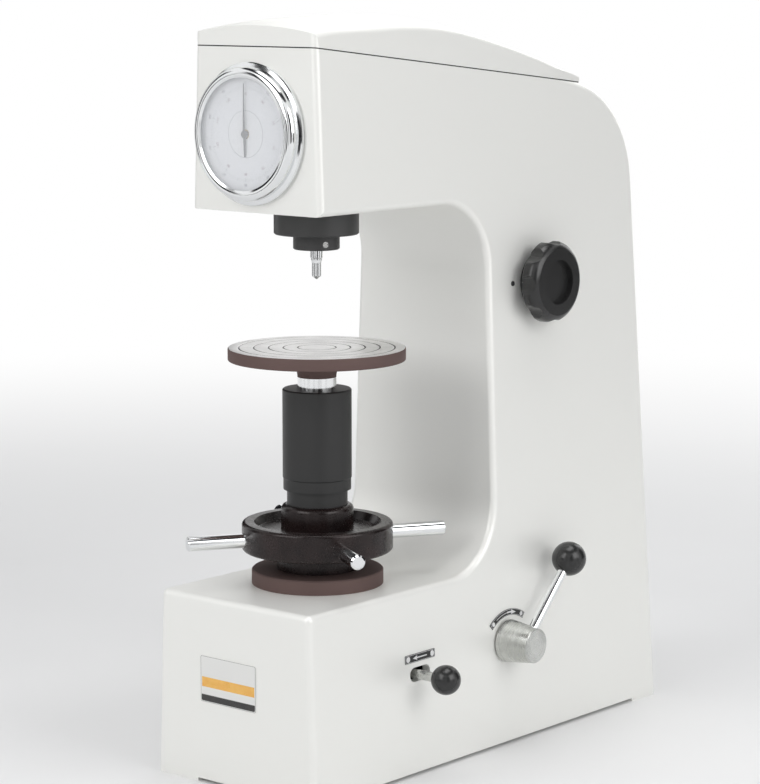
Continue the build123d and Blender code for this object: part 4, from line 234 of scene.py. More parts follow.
@dataclass(frozen=True)
class Finish:
    """A surface finish: each kind below says how its material is laid out."""

    name: str

    def material(self) -> bpy.types.Material:
        """Give the finish's material, made the first time it is asked for."""
        found = bpy.data.materials.get(self.name)
        if found:
            return found
        made = bpy.data.materials.new(self.name)
        made.use_nodes = True
        graph = Graph(made.node_tree)
        shader = graph.add("BsdfPrincipled")
        graph.add("OutputMaterial", {"Surface": shader.outputs[0]})
        place = graph.add("TexCoord").outputs["Object"]
        self.lay_out(graph, shader, place)
        return made

    def lay_out(self, graph: Graph, shader: bpy.types.Node, place: bpy.types.NodeSocket) -> None:
        """Lay out the nodes between the piece's own coordinates and the shader."""
        raise NotImplementedError


def bump(graph: Graph, height, distance: float, normal=None) -> bpy.types.NodeSocket:
    """Turn a height into a normal.

    Args:
        graph: The material's graph.
        height: The socket that gives the height.
        distance: How deep a height of 1 is, in metres.
        normal: The socket of a normal to start from, if any.

    Returns:
        The socket of the bumped normal.
    """
    inputs = {"Height": height, "Strength": 1.0, "Distance": distance}
    if normal is not None:
        inputs["Normal"] = normal
    return graph.add("Bump", inputs).outputs[0]


@dataclass(frozen=True)
class Enamel(Finish):
    """Sprayed gloss enamel with orange peel, faint tone drift and a few soft scuffs."""

    colour: Colour
    shade: Colour
    roughness: float = 0.24
    coat: float = 0.35
    peel: float = 0.000012
    scuffs: tuple[tuple[Point, float], ...] = ()

    def lay_out(self, graph: Graph, shader: bpy.types.Node, place: bpy.types.NodeSocket) -> None:
        """Lay out tone drift, scuffs, orange peel and coat."""
        tone = graph.effect("cloudy_tone", Vector=place, Scale=4.0,
                            Light=self.colour, Dark=self.shade)
        colour = tone.outputs["Colour"]
        for spot, size in self.scuffs:
            offset = graph.add("VectorMath", {0: place, 1: spot}, operation="DISTANCE")
            ragged = graph.noise(place, 240.0, 4.0)
            reach = graph.sum("MULTIPLY_ADD", ragged, size, offset.outputs[1])
            mark = graph.span(reach, size * 1.6, size * 0.7, 0.0, 0.22)
            colour = graph.blend(mark, colour, linear(120, 119, 114))
        grain = graph.effect("fine_grain", Vector=place, Scale=420.0,
                             Smooth=self.roughness - 0.03, Rough=self.roughness + 0.05)
        graph.feed(shader.inputs["Base Color"], colour)
        graph.feed(shader.inputs["Roughness"], grain.outputs["Roughness"])
        graph.feed(shader.inputs["Normal"], bump(graph, grain.outputs["Height"], self.peel))
        shader.inputs["Coat Weight"].default_value = self.coat
        shader.inputs["Coat Roughness"].default_value = 0.08


@dataclass(frozen=True)
class Machined(Finish):
    """Turned or ground metal with marks round its axis, cloudy tone and softened edges."""

    colour: Colour
    dark: Colour
    smooth: float = 0.18
    rough: float = 0.34
    pitch: float = 2600.0
    depth: float = 0.000006
    edge: float = 0.0004
    lathe: Lathe = Lathe.ALONG_Z
    centre: Point = (0.0, 0.0, 0.0)

    def lay_out(self, graph: Graph, shader: bpy.types.Node, place: bpy.types.NodeSocket) -> None:
        """Lay out turned marks over a cloudy tone, with light along the edges."""
        shift = graph.add("Mapping", {"Vector": place, "Location": tuple(-c for c in self.centre)})
        turned = graph.add("Mapping", {"Vector": shift.outputs[0], "Rotation": self.lathe.value})
        marks = graph.effect("turned_marks", Vector=turned.outputs[0], Scale=self.pitch)
        tone = graph.effect("cloudy_tone", Vector=place, Scale=55.0,
                            Light=self.colour, Dark=self.dark)
        wear = graph.effect("worn_edge", Vector=place, Radius=self.edge, Amount=0.35)
        streaked = graph.blend(graph.sum("MULTIPLY", marks.outputs[0], 0.22),
                               tone.outputs["Colour"], self.dark)
        graph.feed(shader.inputs["Base Color"],
                   graph.blend(wear.outputs["Mask"], streaked, (0.86, 0.86, 0.86)))
        graph.feed(shader.inputs["Roughness"],
                   graph.span(marks.outputs[0], 0.0, 1.0, self.smooth, self.rough))
        graph.feed(shader.inputs["Normal"],
                   bump(graph, marks.outputs[0], self.depth, wear.outputs["Normal"]))
        shader.inputs["Metallic"].default_value = 1.0


@dataclass(frozen=True)
class Plated(Finish):
    """Bright plating with a faint bloom of finger marks."""

    colour: Colour
    smooth: float = 0.03
    rough: float = 0.11

    def lay_out(self, graph: Graph, shader: bpy.types.Node, place: bpy.types.NodeSocket) -> None:
        """Lay out the bloom in the roughness and a slight waviness."""
        tone = graph.effect("cloudy_tone", Vector=place, Scale=70.0, Light=self.colour,
                            Dark=tuple(0.94 * share for share in self.colour))
        grain = graph.effect("fine_grain", Vector=place, Scale=900.0,
                             Smooth=self.smooth, Rough=self.rough)
        wear = graph.effect("worn_edge", Vector=place, Radius=0.0003, Amount=0.1)
        graph.feed(shader.inputs["Base Color"], tone.outputs["Colour"])
        graph.feed(shader.inputs["Roughness"], grain.outputs["Roughness"])
        graph.feed(shader.inputs["Normal"],
                   bump(graph, tone.outputs["Mask"], 0.000004, wear.outputs["Normal"]))
        shader.inputs["Metallic"].default_value = 1.0


@dataclass(frozen=True)
class Coated(Finish):
    """Blackened, painted or blued iron: grain, cloudy tone and edges worn lighter."""

    colour: Colour
    dark: Colour
    worn: Colour
    smooth: float = 0.3
    rough: float = 0.5
    metallic: float = 0.0
    grain: float = 500.0
    depth: float = 0.00002
    edge: float = 0.0006
    wear: float = 0.4
    gloss: float = 0.25

    def lay_out(self, graph: Graph, shader: bpy.types.Node, place: bpy.types.NodeSocket) -> None:
        """Lay out tone, grain and worn edges."""
        tone = graph.effect("cloudy_tone", Vector=place, Scale=38.0,
                            Light=self.colour, Dark=self.dark)
        grain = graph.effect("fine_grain", Vector=place, Scale=self.grain,
                             Smooth=self.smooth, Rough=self.rough)
        wear = graph.effect("worn_edge", Vector=place, Radius=self.edge, Amount=self.wear)
        graph.feed(shader.inputs["Base Color"],
                   graph.blend(wear.outputs["Mask"], tone.outputs["Colour"], self.worn))
        graph.feed(shader.inputs["Roughness"], grain.outputs["Roughness"])
        graph.feed(shader.inputs["Normal"],
                   bump(graph, grain.outputs["Height"], self.depth, wear.outputs["Normal"]))
        shader.inputs["Metallic"].default_value = self.metallic
        shader.inputs["Specular IOR Level"].default_value = self.gloss


@dataclass(frozen=True)
class Printed(Finish):
    """Ink or a printed face: nearly flat, with slightly uneven cover."""

    colour: Colour
    thin: Colour
    roughness: float = 0.45
    coat: float = 0.0

    def lay_out(self, graph: Graph, shader: bpy.types.Node, place: bpy.types.NodeSocket) -> None:
        """Lay out the uneven cover of the ink and its fine tooth."""
        tone = graph.effect("cloudy_tone", Vector=place, Scale=160.0,
                            Light=self.colour, Dark=self.thin)
        grain = graph.effect("fine_grain", Vector=place, Scale=1800.0,
                             Smooth=self.roughness - 0.06, Rough=self.roughness + 0.08)
        graph.feed(shader.inputs["Base Color"], tone.outputs["Colour"])
        graph.feed(shader.inputs["Roughness"], grain.outputs["Roughness"])
        graph.feed(shader.inputs["Normal"], bump(graph, grain.outputs["Height"], 0.000004))
        shader.inputs["Coat Weight"].default_value = self.coat
        shader.inputs["Coat Roughness"].default_value = 0.1


@dataclass(frozen=True)
class Glass(Finish):
    """Clear flat glass with a trace of dust."""

    colour: Colour
    alpha: float = 0.02

    def lay_out(self, graph: Graph, shader: bpy.types.Node, place: bpy.types.NodeSocket) -> None:
        """Lay out the dust in the roughness over plain clear glass."""
        grain = graph.effect("fine_grain", Vector=place, Scale=300.0, Smooth=0.0, Rough=0.03)
        tone = graph.effect("cloudy_tone", Vector=place, Scale=40.0, Light=self.colour,
                            Dark=tuple(0.98 * share for share in self.colour))
        graph.feed(shader.inputs["Base Color"], tone.outputs["Colour"])
        graph.feed(shader.inputs["Roughness"], grain.outputs["Roughness"])
        shader.inputs["Alpha"].default_value = self.alpha


SCUFFS = (((0.0665, 0.2365, 0.540), 0.0030), ((0.0675, 0.2120, 0.512), 0.0022))
WHITE_ENAMEL = Enamel("white_enamel", linear(229, 230, 225), linear(225, 226, 220), scuffs=SCUFFS)
BLACK_RUBBER = Coated("black_rubber", linear(52, 52, 52), linear(40, 40, 41), linear(80, 80, 80),
                      smooth=0.6, rough=0.8, wear=0.1)
BRIGHT_STEEL = Machined("bright_steel", linear(206, 206, 204), linear(150, 150, 150),
                        smooth=0.12, rough=0.24)
SATIN_STEEL = Machined("satin_steel", linear(212, 213, 210), linear(186, 187, 184),
                       smooth=0.2, rough=0.32, pitch=2400.0, depth=0.000004, edge=0.0007)
GROUND_STEEL = Machined("ground_steel", linear(214, 214, 212), linear(182, 182, 182),
                        smooth=0.22, rough=0.34, pitch=2200.0)
BROWN_IRON = Coated("brown_iron", linear(78, 45, 42), linear(54, 29, 27), linear(140, 116, 110),
                    smooth=0.28, rough=0.44, metallic=0.15, wear=0.55, gloss=0.35)
DARK_WHEEL = Coated("dark_wheel", linear(44, 33, 32), linear(28, 21, 21), linear(120, 108, 104),
                    smooth=0.2, rough=0.34, metallic=0.25, wear=0.5, gloss=0.4)
GREY_IRON = Machined("grey_iron", linear(150, 150, 152), linear(104, 104, 107),
                     smooth=0.36, rough=0.55, pitch=900.0, depth=0.00002)
BRONZE = Machined("bronze", linear(212, 166, 100), linear(164, 120, 66), smooth=0.22, rough=0.38)
BRASS = Machined("brass", linear(226, 196, 130), linear(184, 150, 88), smooth=0.18, rough=0.3)
BLACK_OXIDE = Coated("black_oxide", linear(34, 33, 35), linear(20, 20, 22), linear(112, 112, 112),
                     smooth=0.3, rough=0.44, metallic=0.2, grain=900.0, wear=0.45)
BLACK_SATIN = Coated("black_satin", linear(12, 11, 12), linear(7, 7, 8), linear(64, 64, 66),
                     smooth=0.3, rough=0.42, gloss=0.1, grain=700.0, depth=0.00001, wear=0.35)
BLACK_GLOSS = Coated("black_gloss", linear(8, 7, 9), linear(5, 5, 6), linear(40, 40, 42),
                     smooth=0.1, rough=0.18, gloss=0.22, grain=300.0, depth=0.000008, wear=0.15)
CHROME = Plated("chrome", linear(206, 207, 210))
ALUMINIUM = Machined("aluminium", linear(206, 206, 208), linear(168, 168, 171),
                     smooth=0.26, rough=0.4)
DIAL_WHITE = Printed("dial_white", linear(232, 232, 237), linear(228, 228, 234), 0.5)
DIAL_CENTRE = Printed("dial_centre", linear(241, 241, 244), linear(238, 238, 241), 0.5)
DIAL_INK = Printed("dial_ink", linear(120, 120, 127), linear(132, 132, 139), 0.5)
DIAL_INK_WARM = Printed("dial_ink_warm", linear(158, 140, 144), linear(168, 151, 154), 0.5)
CLEAR_GLASS = Glass("clear_glass", (0.99, 0.995, 1.0))
POINTER_BLACK = Printed("pointer_black", linear(22, 22, 24), linear(14, 14, 16), 0.5)
PLATE_WHITE = Printed("plate_white", linear(236, 236, 236), linear(230, 230, 231), 0.3, 0.3)
PLATE_AMBER = Printed("plate_amber", linear(241, 188, 92), linear(236, 176, 80), 0.32, 0.3)
PLATE_BLACK = Printed("plate_black", linear(46, 44, 43), linear(36, 35, 35), 0.32, 0.3)
PLATE_LINE = Printed("plate_line", linear(140, 139, 138), linear(150, 149, 148), 0.35)
LABEL_BLACK = Printed("label_black", linear(30, 29, 31), linear(24, 24, 26), 0.3, 0.3)
LABEL_WHITE = Printed("label_white", linear(232, 232, 232), linear(222, 222, 222), 0.35)

X, Y, Z = Lathe.ALONG_X, Lathe.ALONG_Y, Lathe.ALONG_Z
NODE_FINISHES: dict[str, tuple[Finish, Lathe | None]] = {
    "body_casting": (WHITE_ENAMEL, None),
    "top_cover": (WHITE_ENAMEL, None),
    "rear_cover": (WHITE_ENAMEL, None),
    "cover_gasket": (BLACK_RUBBER, None),
    "rear_cover_screws": (BRIGHT_STEEL, Y),
    "thrust_bearing": (BRIGHT_STEEL, Z),
    "fulcrum_seats": (BRIGHT_STEEL, X),
    "pivot_pins": (BRIGHT_STEEL, X),
    "spindle": (BRIGHT_STEEL, Z),
    "chuck_screw": (BRIGHT_STEEL, Y),
    "lever_knives": (BRIGHT_STEEL, X),
    "gauge_plunger": (BRIGHT_STEEL, Y),
    "hanger_strap": (BRIGHT_STEEL, X),
    "hanger_rod": (BRIGHT_STEEL, Z),
    "piston_rod": (BRIGHT_STEEL, Z),
    "unload_camshaft": (BRIGHT_STEEL, X),
    "selector_shaft": (BRIGHT_STEEL, X),
    "unload_hub": (SATIN_STEEL, X),
    "release_lever": (SATIN_STEEL, X),
    "elevating_screw": (CHROME, None),
    "anvil": (GROUND_STEEL, Z),
    "base_flange": (BROWN_IRON, None),
    "handwheel": (DARK_WHEEL, None),
    "fulcrum_bracket": (GREY_IRON, X),
    "buffer_cylinder": (GREY_IRON, Z),
    "camshaft_post": (GREY_IRON, X),
    "rocker_post": (GREY_IRON, X),
    "release_post": (GREY_IRON, Z),
    "main_lever": (GREY_IRON, X),
    "lower_weight": (GREY_IRON, Z),
    "middle_weight": (GREY_IRON, Z),
    "upper_weight": (GREY_IRON, Z),
    "lift_rocker": (GREY_IRON, X),
    "guide_bush": (BRONZE, Z),
    "buffer_cap": (BRONZE, Z),
    "unload_bush": (BRONZE, X),
    "selector_bush": (BRONZE, X),
    "selector_bearing": (BRONZE, X),
    "elevating_nut": (BRONZE, Z),
    "gauge_movement": (BRASS, Y),
    "gauge_lever": (BRASS, X),
    "spindle_housing": (BLACK_OXIDE, None),
    "head_bolts": (BLACK_OXIDE, None),
    "indenter_chuck": (BLACK_OXIDE, None),
    "upper_sleeve": (BLACK_SATIN, None),
    "lower_sleeve": (BLACK_SATIN, None),
    "unload_ball": (BLACK_GLOSS, None),
    "selector_knob": (BLACK_GLOSS, None),
    "release_ball": (BLACK_GLOSS, None),
    "bezel_ring": (CHROME, None),
    "indenter": (CHROME, None),
    "unload_rod": (CHROME, None),
    "handwheel_rods": (CHROME, None),
    "gauge_case": (ALUMINIUM, Y),
    "dial_plate": (DIAL_WHITE, None),
    "dial_glass": (CLEAR_GLASS, None),
    "long_pointer": (POINTER_BLACK, None),
    "short_pointer": (POINTER_BLACK, None),
    "name_plate": (PLATE_WHITE, None),
    "flank_labels": (LABEL_BLACK, None),
}


def dress_nodes(nodes: dict[str, bpy.types.Object]) -> None:
    """Give every node of the frame its finish, turned marks centred on the piece.

    Args:
        nodes: Node name to its object.
    """
    for name, piece in nodes.items():
        finish, lathe = NODE_FINISHES[name]
        if lathe is not None:
            low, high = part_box(name)
            middle = tuple((low + high) / 2)
            finish = replace(finish, name=f"{finish.name}.{name}", lathe=lathe, centre=middle)
        material = finish.material()
        piece.data.materials.clear()
        piece.data.materials.append(material)
        LOG.info("dressed %s in %s", name, finish.name)


# ---- Modelling -----------------------------------------------------------


def deselect() -> None:
    """Leave edit mode and let go of everything selected."""
    if bpy.context.object and bpy.context.object.mode != "OBJECT":
        bpy.ops.object.mode_set(mode="OBJECT")
    bpy.ops.object.select_all(action="DESELECT")


def pick(piece: bpy.types.Object) -> None:
    """Select one piece alone and make it the active one."""
    deselect()
    piece.select_set(True)
    bpy.context.view_layer.objects.active = piece


def settle(piece: bpy.types.Object, place: Matrix) -> None:
    """Put a piece where it belongs and leave that place in its mesh."""
    pick(piece)
    piece.matrix_world = place @ piece.matrix_world
    bpy.ops.object.transform_apply(location=True, rotation=True, scale=True)


def hand_over(
    piece: bpy.types.Object, name: str, body: str, finishes: list[Finish],
    stands_for: tuple[str, ...] = (),
) -> bpy.types.Object:
    """Name, dress and place a finished piece on the body that carries it.

    Args:
        piece: The finished piece, with its place in its mesh.
        name: What it is called.
        body: The body it rides on.
        finishes: Its finishes, in the order of its faces' material numbers.
        stands_for: The frame's nodes it replaces.

    Returns:
        The same piece.
    """
    piece.name = name
    piece.data.name = name
    for finish in finishes:
        piece.data.materials.append(finish.material())
    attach(piece, body)
    if stands_for:
        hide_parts(*stands_for)
    LOG.info("built %s on %s", name, body)
    return piece


def turned_piece(profile: list[Flat], segments: int) -> bpy.types.Object:
    """Model a turned piece round Z as on a lathe, from one end cap to the other.

    Args:
        profile: Radius and height of each step in millimetres, first end to last.
        segments: How many faces go round.

    Returns:
        The new piece, closed, with its faces outwards.
    """
    deselect()
    first_radius, first_height = profile[0]
    bpy.ops.mesh.primitive_circle_add(
        vertices=segments, radius=first_radius * MM, fill_type="TRIFAN",
        location=(0, 0, first_height * MM),
    )
    piece = bpy.context.object
    bpy.ops.object.transform_apply(location=True, rotation=True, scale=True)
    bpy.ops.object.mode_set(mode="EDIT")
    bpy.ops.mesh.select_all(action="SELECT")
    bpy.ops.mesh.region_to_loop()
    for (radius, height), (next_radius, next_height) in zip(profile, profile[1:]):
        rise = (0, 0, (next_height - height) * MM)
        bpy.ops.mesh.extrude_region_move(TRANSFORM_OT_translate={"value": rise})
        scale = next_radius / radius
        bpy.ops.transform.resize(value=(scale, scale, 1), center_override=(0, 0, next_height * MM))
    bpy.ops.mesh.extrude_region_move(TRANSFORM_OT_translate={"value": (0, 0, 0)})
    bpy.ops.mesh.merge(type="CENTER")
    bpy.ops.mesh.select_all(action="SELECT")
    bpy.ops.mesh.normals_make_consistent(inside=False)
    bpy.ops.object.mode_set(mode="OBJECT")
    bpy.ops.object.shade_smooth_by_angle(angle=math.radians(32))
    return piece


def flat_print(outlines: list[list[Flat]], thickness: float, place: Matrix) -> bpy.types.Object:
    """Cut a thin printed shape from closed outlines, holes included.

    Args:
        outlines: Each closed outline as points in millimetres; one inside another is a hole.
        thickness: How thick the film is, in millimetres.
        place: The plane it lies on, its Z outwards.

    Returns:
        The new piece as a mesh, in place.
    """
    deselect()
    curve = bpy.data.curves.new("print", "CURVE")
    curve.dimensions = "2D"
    curve.fill_mode = "BOTH"
    curve.extrude = thickness * MM / 2
    for outline in outlines:
        spline = curve.splines.new("POLY")
        spline.points.add(len(outline) - 1)
        for point, (across, up) in zip(spline.points, outline):
            point.co = (across * MM, up * MM, 0, 1)
        spline.use_cyclic_u = True
    piece = bpy.data.objects.new("print", curve)
    bpy.context.scene.collection.objects.link(piece)
    pick(piece)
    bpy.ops.object.convert(target="MESH")
    piece = bpy.context.object
    settle(piece, place @ Matrix.Translation((0, 0, thickness * MM / 2)))
    return piece


def arc_points(radius: float, start: float, end: float, count: int) -> list[Flat]:
    """Give points along an arc about the origin, from one angle to another in degrees."""
    angles = (math.radians(start + (end - start) * i / (count - 1)) for i in range(count))
    return [(radius * math.cos(a), radius * math.sin(a)) for a in angles]


def arc_band(inner: float, outer: float, start: float, end: float) -> list[Flat]:
    """Give the closed outline of a band between two arcs."""
    count = max(8, int(abs(end - start) / 2))
    return arc_points(outer, start, end, count) + arc_points(inner, end, start, count)


def ring(radius: float, count: int = 96) -> list[Flat]:
    """Give the closed outline of a circle about the origin."""
    return arc_points(radius, 0, 360 - 360 / count, count)


def rounded_box(width: float, height: float, corner: float, centre: Flat = (0, 0)) -> list[Flat]:
    """Give the closed outline of a box with rounded corners."""
    outline = []
    for turn, (side, up) in enumerate(((1, 1), (-1, 1), (-1, -1), (1, -1))):
        middle = (side * (width / 2 - corner), up * (height / 2 - corner))
        for across, high in arc_points(corner, 90 * turn, 90 * turn + 90, 7):
            outline.append((centre[0] + middle[0] + across, centre[1] + middle[1] + high))
    return outline


# ---- Sub-assemblies ------------------------------------------------------


@dataclass
class Anvil:
    """The round table under the indenter, with its grooved steel face and brown rim."""

    radius: float = 73.0
    top: float = 351.3
    rim: float = 10.0
    hub_height: float = 327.1
    hub_radius: float = 16.0
    flare: float = 12.0
    stem_radius: float = 8.0
    stem_length: float = 30.0
    grooves: tuple[float, ...] = (15.7, 27.6, 39.6, 51.8, 64.0)
    groove_width: float = 1.1
    groove_depth: float = 0.6
    corner: float = 0.9
    segments: int = 192

    def profile(self) -> list[Flat]:
        """Give the turned outline from the stem's foot to the middle of the face."""
        foot = self.hub_height - self.stem_length
        plate = self.top - self.rim
        points = [(self.stem_radius - 0.8, foot), (self.stem_radius, foot + 0.8)]
        points += [(self.stem_radius, self.hub_height), (self.hub_radius - 0.5, self.hub_height)]
        for step in range(13):
            angle = math.radians(90 * step / 12)
            across = self.hub_radius + self.flare * (1 - math.cos(angle))
            points.append((across, self.hub_height + (plate - self.hub_height) * math.sin(angle)))
        points += self.rounded_corner(plate, -1)
        points += self.rounded_corner(self.top, 1)
        for middle in reversed(self.grooves):
            half = self.groove_width / 2
            points += [
                (middle + half + 0.12, self.top), (middle + half, self.top - 0.12),
                (middle + half * 0.5, self.top - self.groove_depth),
                (middle - half * 0.5, self.top - self.groove_depth),
                (middle - half, self.top - 0.12), (middle - half - 0.12, self.top),
            ]
        return points + [(6.0, self.top), (0.5, self.top)]

    def rounded_corner(self, height: float, side: int) -> list[Flat]:
        """Give the rim's rounded corner at a height, going upwards.

        Args:
            height: The face's height in millimetres.
            side: 1 for the upper corner and -1 for the lower one.

        Returns:
            The corner's points.
        """
        middle = (self.radius - self.corner, height - side * self.corner)
        start, end = (-90, 0) if side < 0 else (0, 90)
        return [(middle[0] + x, middle[1] + y) for x, y in arc_points(self.corner, start, end, 6)]

    def build(self) -> None:
        """Turn the table, sort its faces by finish, with painted shade in the grooves, and hand it
        over.
        """
        piece = turned_piece(self.profile(), self.segments)
        face_edge = self.radius - self.corner * 0.6
        for face in piece.data.polygons:
            radius = math.hypot(face.center.x, face.center.y) / MM
            height = face.center.z / MM
            in_groove = any(abs(radius - g) < self.groove_width / 2 for g in self.grooves)
            if height > self.top - self.groove_depth - 0.1 and radius < face_edge:
                face.material_index = 2 if in_groove else 0
            elif height < self.hub_height + 0.1 and radius < self.stem_radius + 1:
                face.material_index = 3
            else:
                face.material_index = 1
        face_steel = replace(GROUND_STEEL, name="anvil_face", colour=linear(238, 237, 236),
                             dark=linear(222, 221, 220), smooth=0.3, rough=0.42)
        # The grooves get a dark steel colour: painted shade in the grooves, the same steel as the
        # face.
        groove_painted_shade = replace(GROUND_STEEL, name="anvil_groove_painted_shade", colour=linear(92, 88, 88),
                              dark=linear(64, 60, 60), smooth=0.4, rough=0.5)
        finishes = [face_steel, BROWN_IRON, groove_painted_shade, BRIGHT_STEEL]
        hand_over(piece, "anvil_table", "elevating_screw", finishes, ("anvil",))


@dataclass
class Dial:
    """The printing on the dial: two rings of figures, graduations and a pale centre."""

    centre_x: float = -3.0
    centre_z: float = 528.5
    outer_figures: float = 40.2
    inner_figures: float = 31.6
    figure_height: float = 3.4
    tick_outer: float = 37.6
    tick_inner: float = 35.6
    long_tick_inner: float = 34.4
    centre_radius: float = 18.5
    ticks: int = 100
    film: float = 0.05
    inner_start: int = 30

    def plane(self) -> Matrix:
        """Give the plane of the dial's face, its Z towards the front."""
        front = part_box("dial_plate")[0].y
        turn = Matrix.Rotation(math.pi / 2, 4, "X")
        return Matrix.Translation((self.centre_x * MM, front, self.centre_z * MM)) @ turn

    def build(self) -> None:
        """Print the centre, the graduations and both rings of figures."""
        plane = self.plane()
        pale = flat_print([ring(self.centre_radius)], self.film, plane)
        hand_over(pale, "dial_centre", "bezel", [DIAL_CENTRE])
        edge = flat_print([ring(self.centre_radius + 0.15), ring(self.centre_radius - 0.1)],
                          self.film * 1.5, plane)
        hand_over(edge, "dial_centre_line", "bezel", [DIAL_INK])
        marks = []
        for index in range(self.ticks):
            inner = self.long_tick_inner if index % 10 == 0 else self.tick_inner
            half = 0.14 if index % 10 == 0 else 0.08
            angle = math.tau * index / self.ticks
            side, up = math.sin(angle), math.cos(angle)
            corners = ((half, inner), (half, self.tick_outer),
                       (-half, self.tick_outer), (-half, inner))
            marks.append([(v * side + u * up, v * up - u * side) for u, v in corners])
        ticks = flat_print(marks, self.film, plane)
        hand_over(ticks, "dial_graduations", "bezel", [DIAL_INK])
        self.figures("dial_outer_figures", self.outer_figures, 0, DIAL_INK)
        self.figures("dial_inner_figures", self.inner_figures, self.inner_start, DIAL_INK_WARM)

    def figures(self, name: str, radius: float, start: int, ink: Finish) -> None:
        """Print a ring of ten plain numbers, upright round the dial.

        Args:
            name: What the ring is called.
            radius: The ring's radius in millimetres.
            start: The number at the top.
            ink: The finish of the figures.
        """
        made = []
        for step in range(10):
            deselect()
            bpy.ops.object.text_add(location=(0, 0, 0))
            words = bpy.context.object
            words.data.body = str((start + 10 * step) % 140)
            words.data.size = self.figure_height * MM
            words.data.align_x = "CENTER"
            words.data.align_y = "CENTER"
            words.data.extrude = self.film * MM / 2
            bpy.ops.object.convert(target="MESH")
            piece = bpy.context.object
            angle = math.tau * step / 10
            turn = Matrix.Rotation(-angle, 4, "Z")
            outwards = Matrix.Translation((0, radius * MM, self.film * MM / 2))
            settle(piece, self.plane() @ turn @ outwards)
            made.append(piece)
        pick(made[0])
        for piece in made:
            piece.select_set(True)
        bpy.ops.object.join()
        hand_over(bpy.context.object, name, "bezel", [ink])


@dataclass
class FlankMarks:
    """The white marks on the black labels of the right flank, and the knob's mark."""

    bench_half_width: float = 87.0
    draft: float = 0.038
    label: float = 0.6
    film: float = 0.08
    release_y: float = 32.2
    release_z: float = 99.0
    release_length: float = 38.0
    release_height: float = 7.0
    arc_y: float = 152.0
    arc_z: float = 78.0
    arc_inner: float = 34.0
    arc_outer: float = 39.5
    arc_from: float = 57.0
    arc_to: float = 132.0
    knob_skirt: float = 24.0
    knob_mark_x: float = 3.6

    def plane(self, y: float, z: float) -> Matrix:
        """Give the plane on a label's face: X backwards, Y up the flank, Z outwards.

        Args:
            y: Depth of the plane's origin in millimetres.
            z: Height of the plane's origin in millimetres.

        Returns:
            The plane as a matrix.
        """
        lean = math.atan(self.draft)
        out = Vector((math.cos(lean), 0, math.sin(lean)))
        up = Vector((-math.sin(lean), 0, math.cos(lean)))
        origin = Vector(((self.bench_half_width - self.draft * z) * MM, y * MM, z * MM))
        origin += out * self.label * MM
        turn = Matrix((Vector((0, 1, 0)), up, out)).transposed().to_4x4()
        return Matrix.Translation(origin) @ turn

    def build(self) -> None:
        """Print the marks of the release label, the arc label and the knob."""
        self.release_marks()
        self.arc_marks()
        self.knob_mark()

    def knob_mark(self) -> None:
        """Print the small white star on the front of the load knob's skirt."""
        low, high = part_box("selector_knob")
        middle = (low + high) / 2
        reach = self.knob_skirt * MM
        turn = Matrix.Rotation(math.pi / 2, 4, "X")
        spot = Vector((low.x + self.knob_mark_x * MM, middle.y - reach, middle.z))
        star = []
        for step in range(10):
            angle = math.radians(36 * step + 90)
            radius = 1.9 if step % 2 == 0 else 0.95
            star.append((radius * math.cos(angle), radius * math.sin(angle)))
        mark = flat_print([star, ring(0.55, 24)], 0.12, Matrix.Translation(spot) @ turn)
        hand_over(mark, "knob_star_mark", "selector", [LABEL_WHITE])

    def release_marks(self) -> None:
        """Print the arrow, the pale ends and the border of the release label."""
        plane = self.plane(self.release_y, self.release_z)
        length, height = self.release_length, self.release_height
        end = length / 2 - 3.6
        arrow = [(8.5, 0.45), (-4.5, 0.55), (-4.0, 1.9), (-9.6, 0.0),
                 (-4.0, -1.9), (-4.5, -0.55), (8.5, -0.45)]
        ends = [rounded_box(4.6, 4.8, 2.2, (side * end, 0)) for side in (-1, 1)]
        border = [rounded_box(length - 0.7, height - 0.7, 0.6),
                  rounded_box(length - 1.3, height - 1.3, 0.4)]
        marks = flat_print([arrow, *ends, *border], self.film, plane)
        hand_over(marks, "release_label_marks", "frame", [LABEL_WHITE])

    def arc_marks(self) -> None:
        """Print the arrow, the pale ends and the border of the arc label."""
        plane = self.plane(self.arc_y, self.arc_z)
        middle = (self.arc_inner + self.arc_outer) / 2
        tail = arc_points(middle + 0.25, 118, 88, 14) + arc_points(middle - 0.25, 88, 118, 14)
        head = [*arc_points(middle + 0.7, 94, 85, 5), *arc_points(middle + 1.9, 85.4, 85.2, 2),
                *arc_points(middle, 75.5, 75.0, 2), *arc_points(middle - 1.9, 85.2, 85.4, 2),
                *arc_points(middle - 0.7, 85, 94, 5)]
        ends = []
        for angle in (self.arc_from + 6, self.arc_to - 6):
            turn = math.radians(angle)
            spot = (middle * math.cos(turn), middle * math.sin(turn))
            ends.append([(spot[0] + x, spot[1] + y) for x, y in ring(1.9, 32)])
        border = [arc_band(self.arc_inner + 0.3, self.arc_outer - 0.3, 58, 131),
                  arc_band(self.arc_inner + 0.6, self.arc_outer - 0.6, 58.5, 130.5)]
        marks = flat_print([tail, *ends, *border], self.film, plane)
        hand_over(marks, "arc_label_marks", "frame", [LABEL_WHITE])
        point = flat_print([head], self.film * 1.2, plane)
        hand_over(point, "arc_label_arrow", "frame", [LABEL_WHITE])


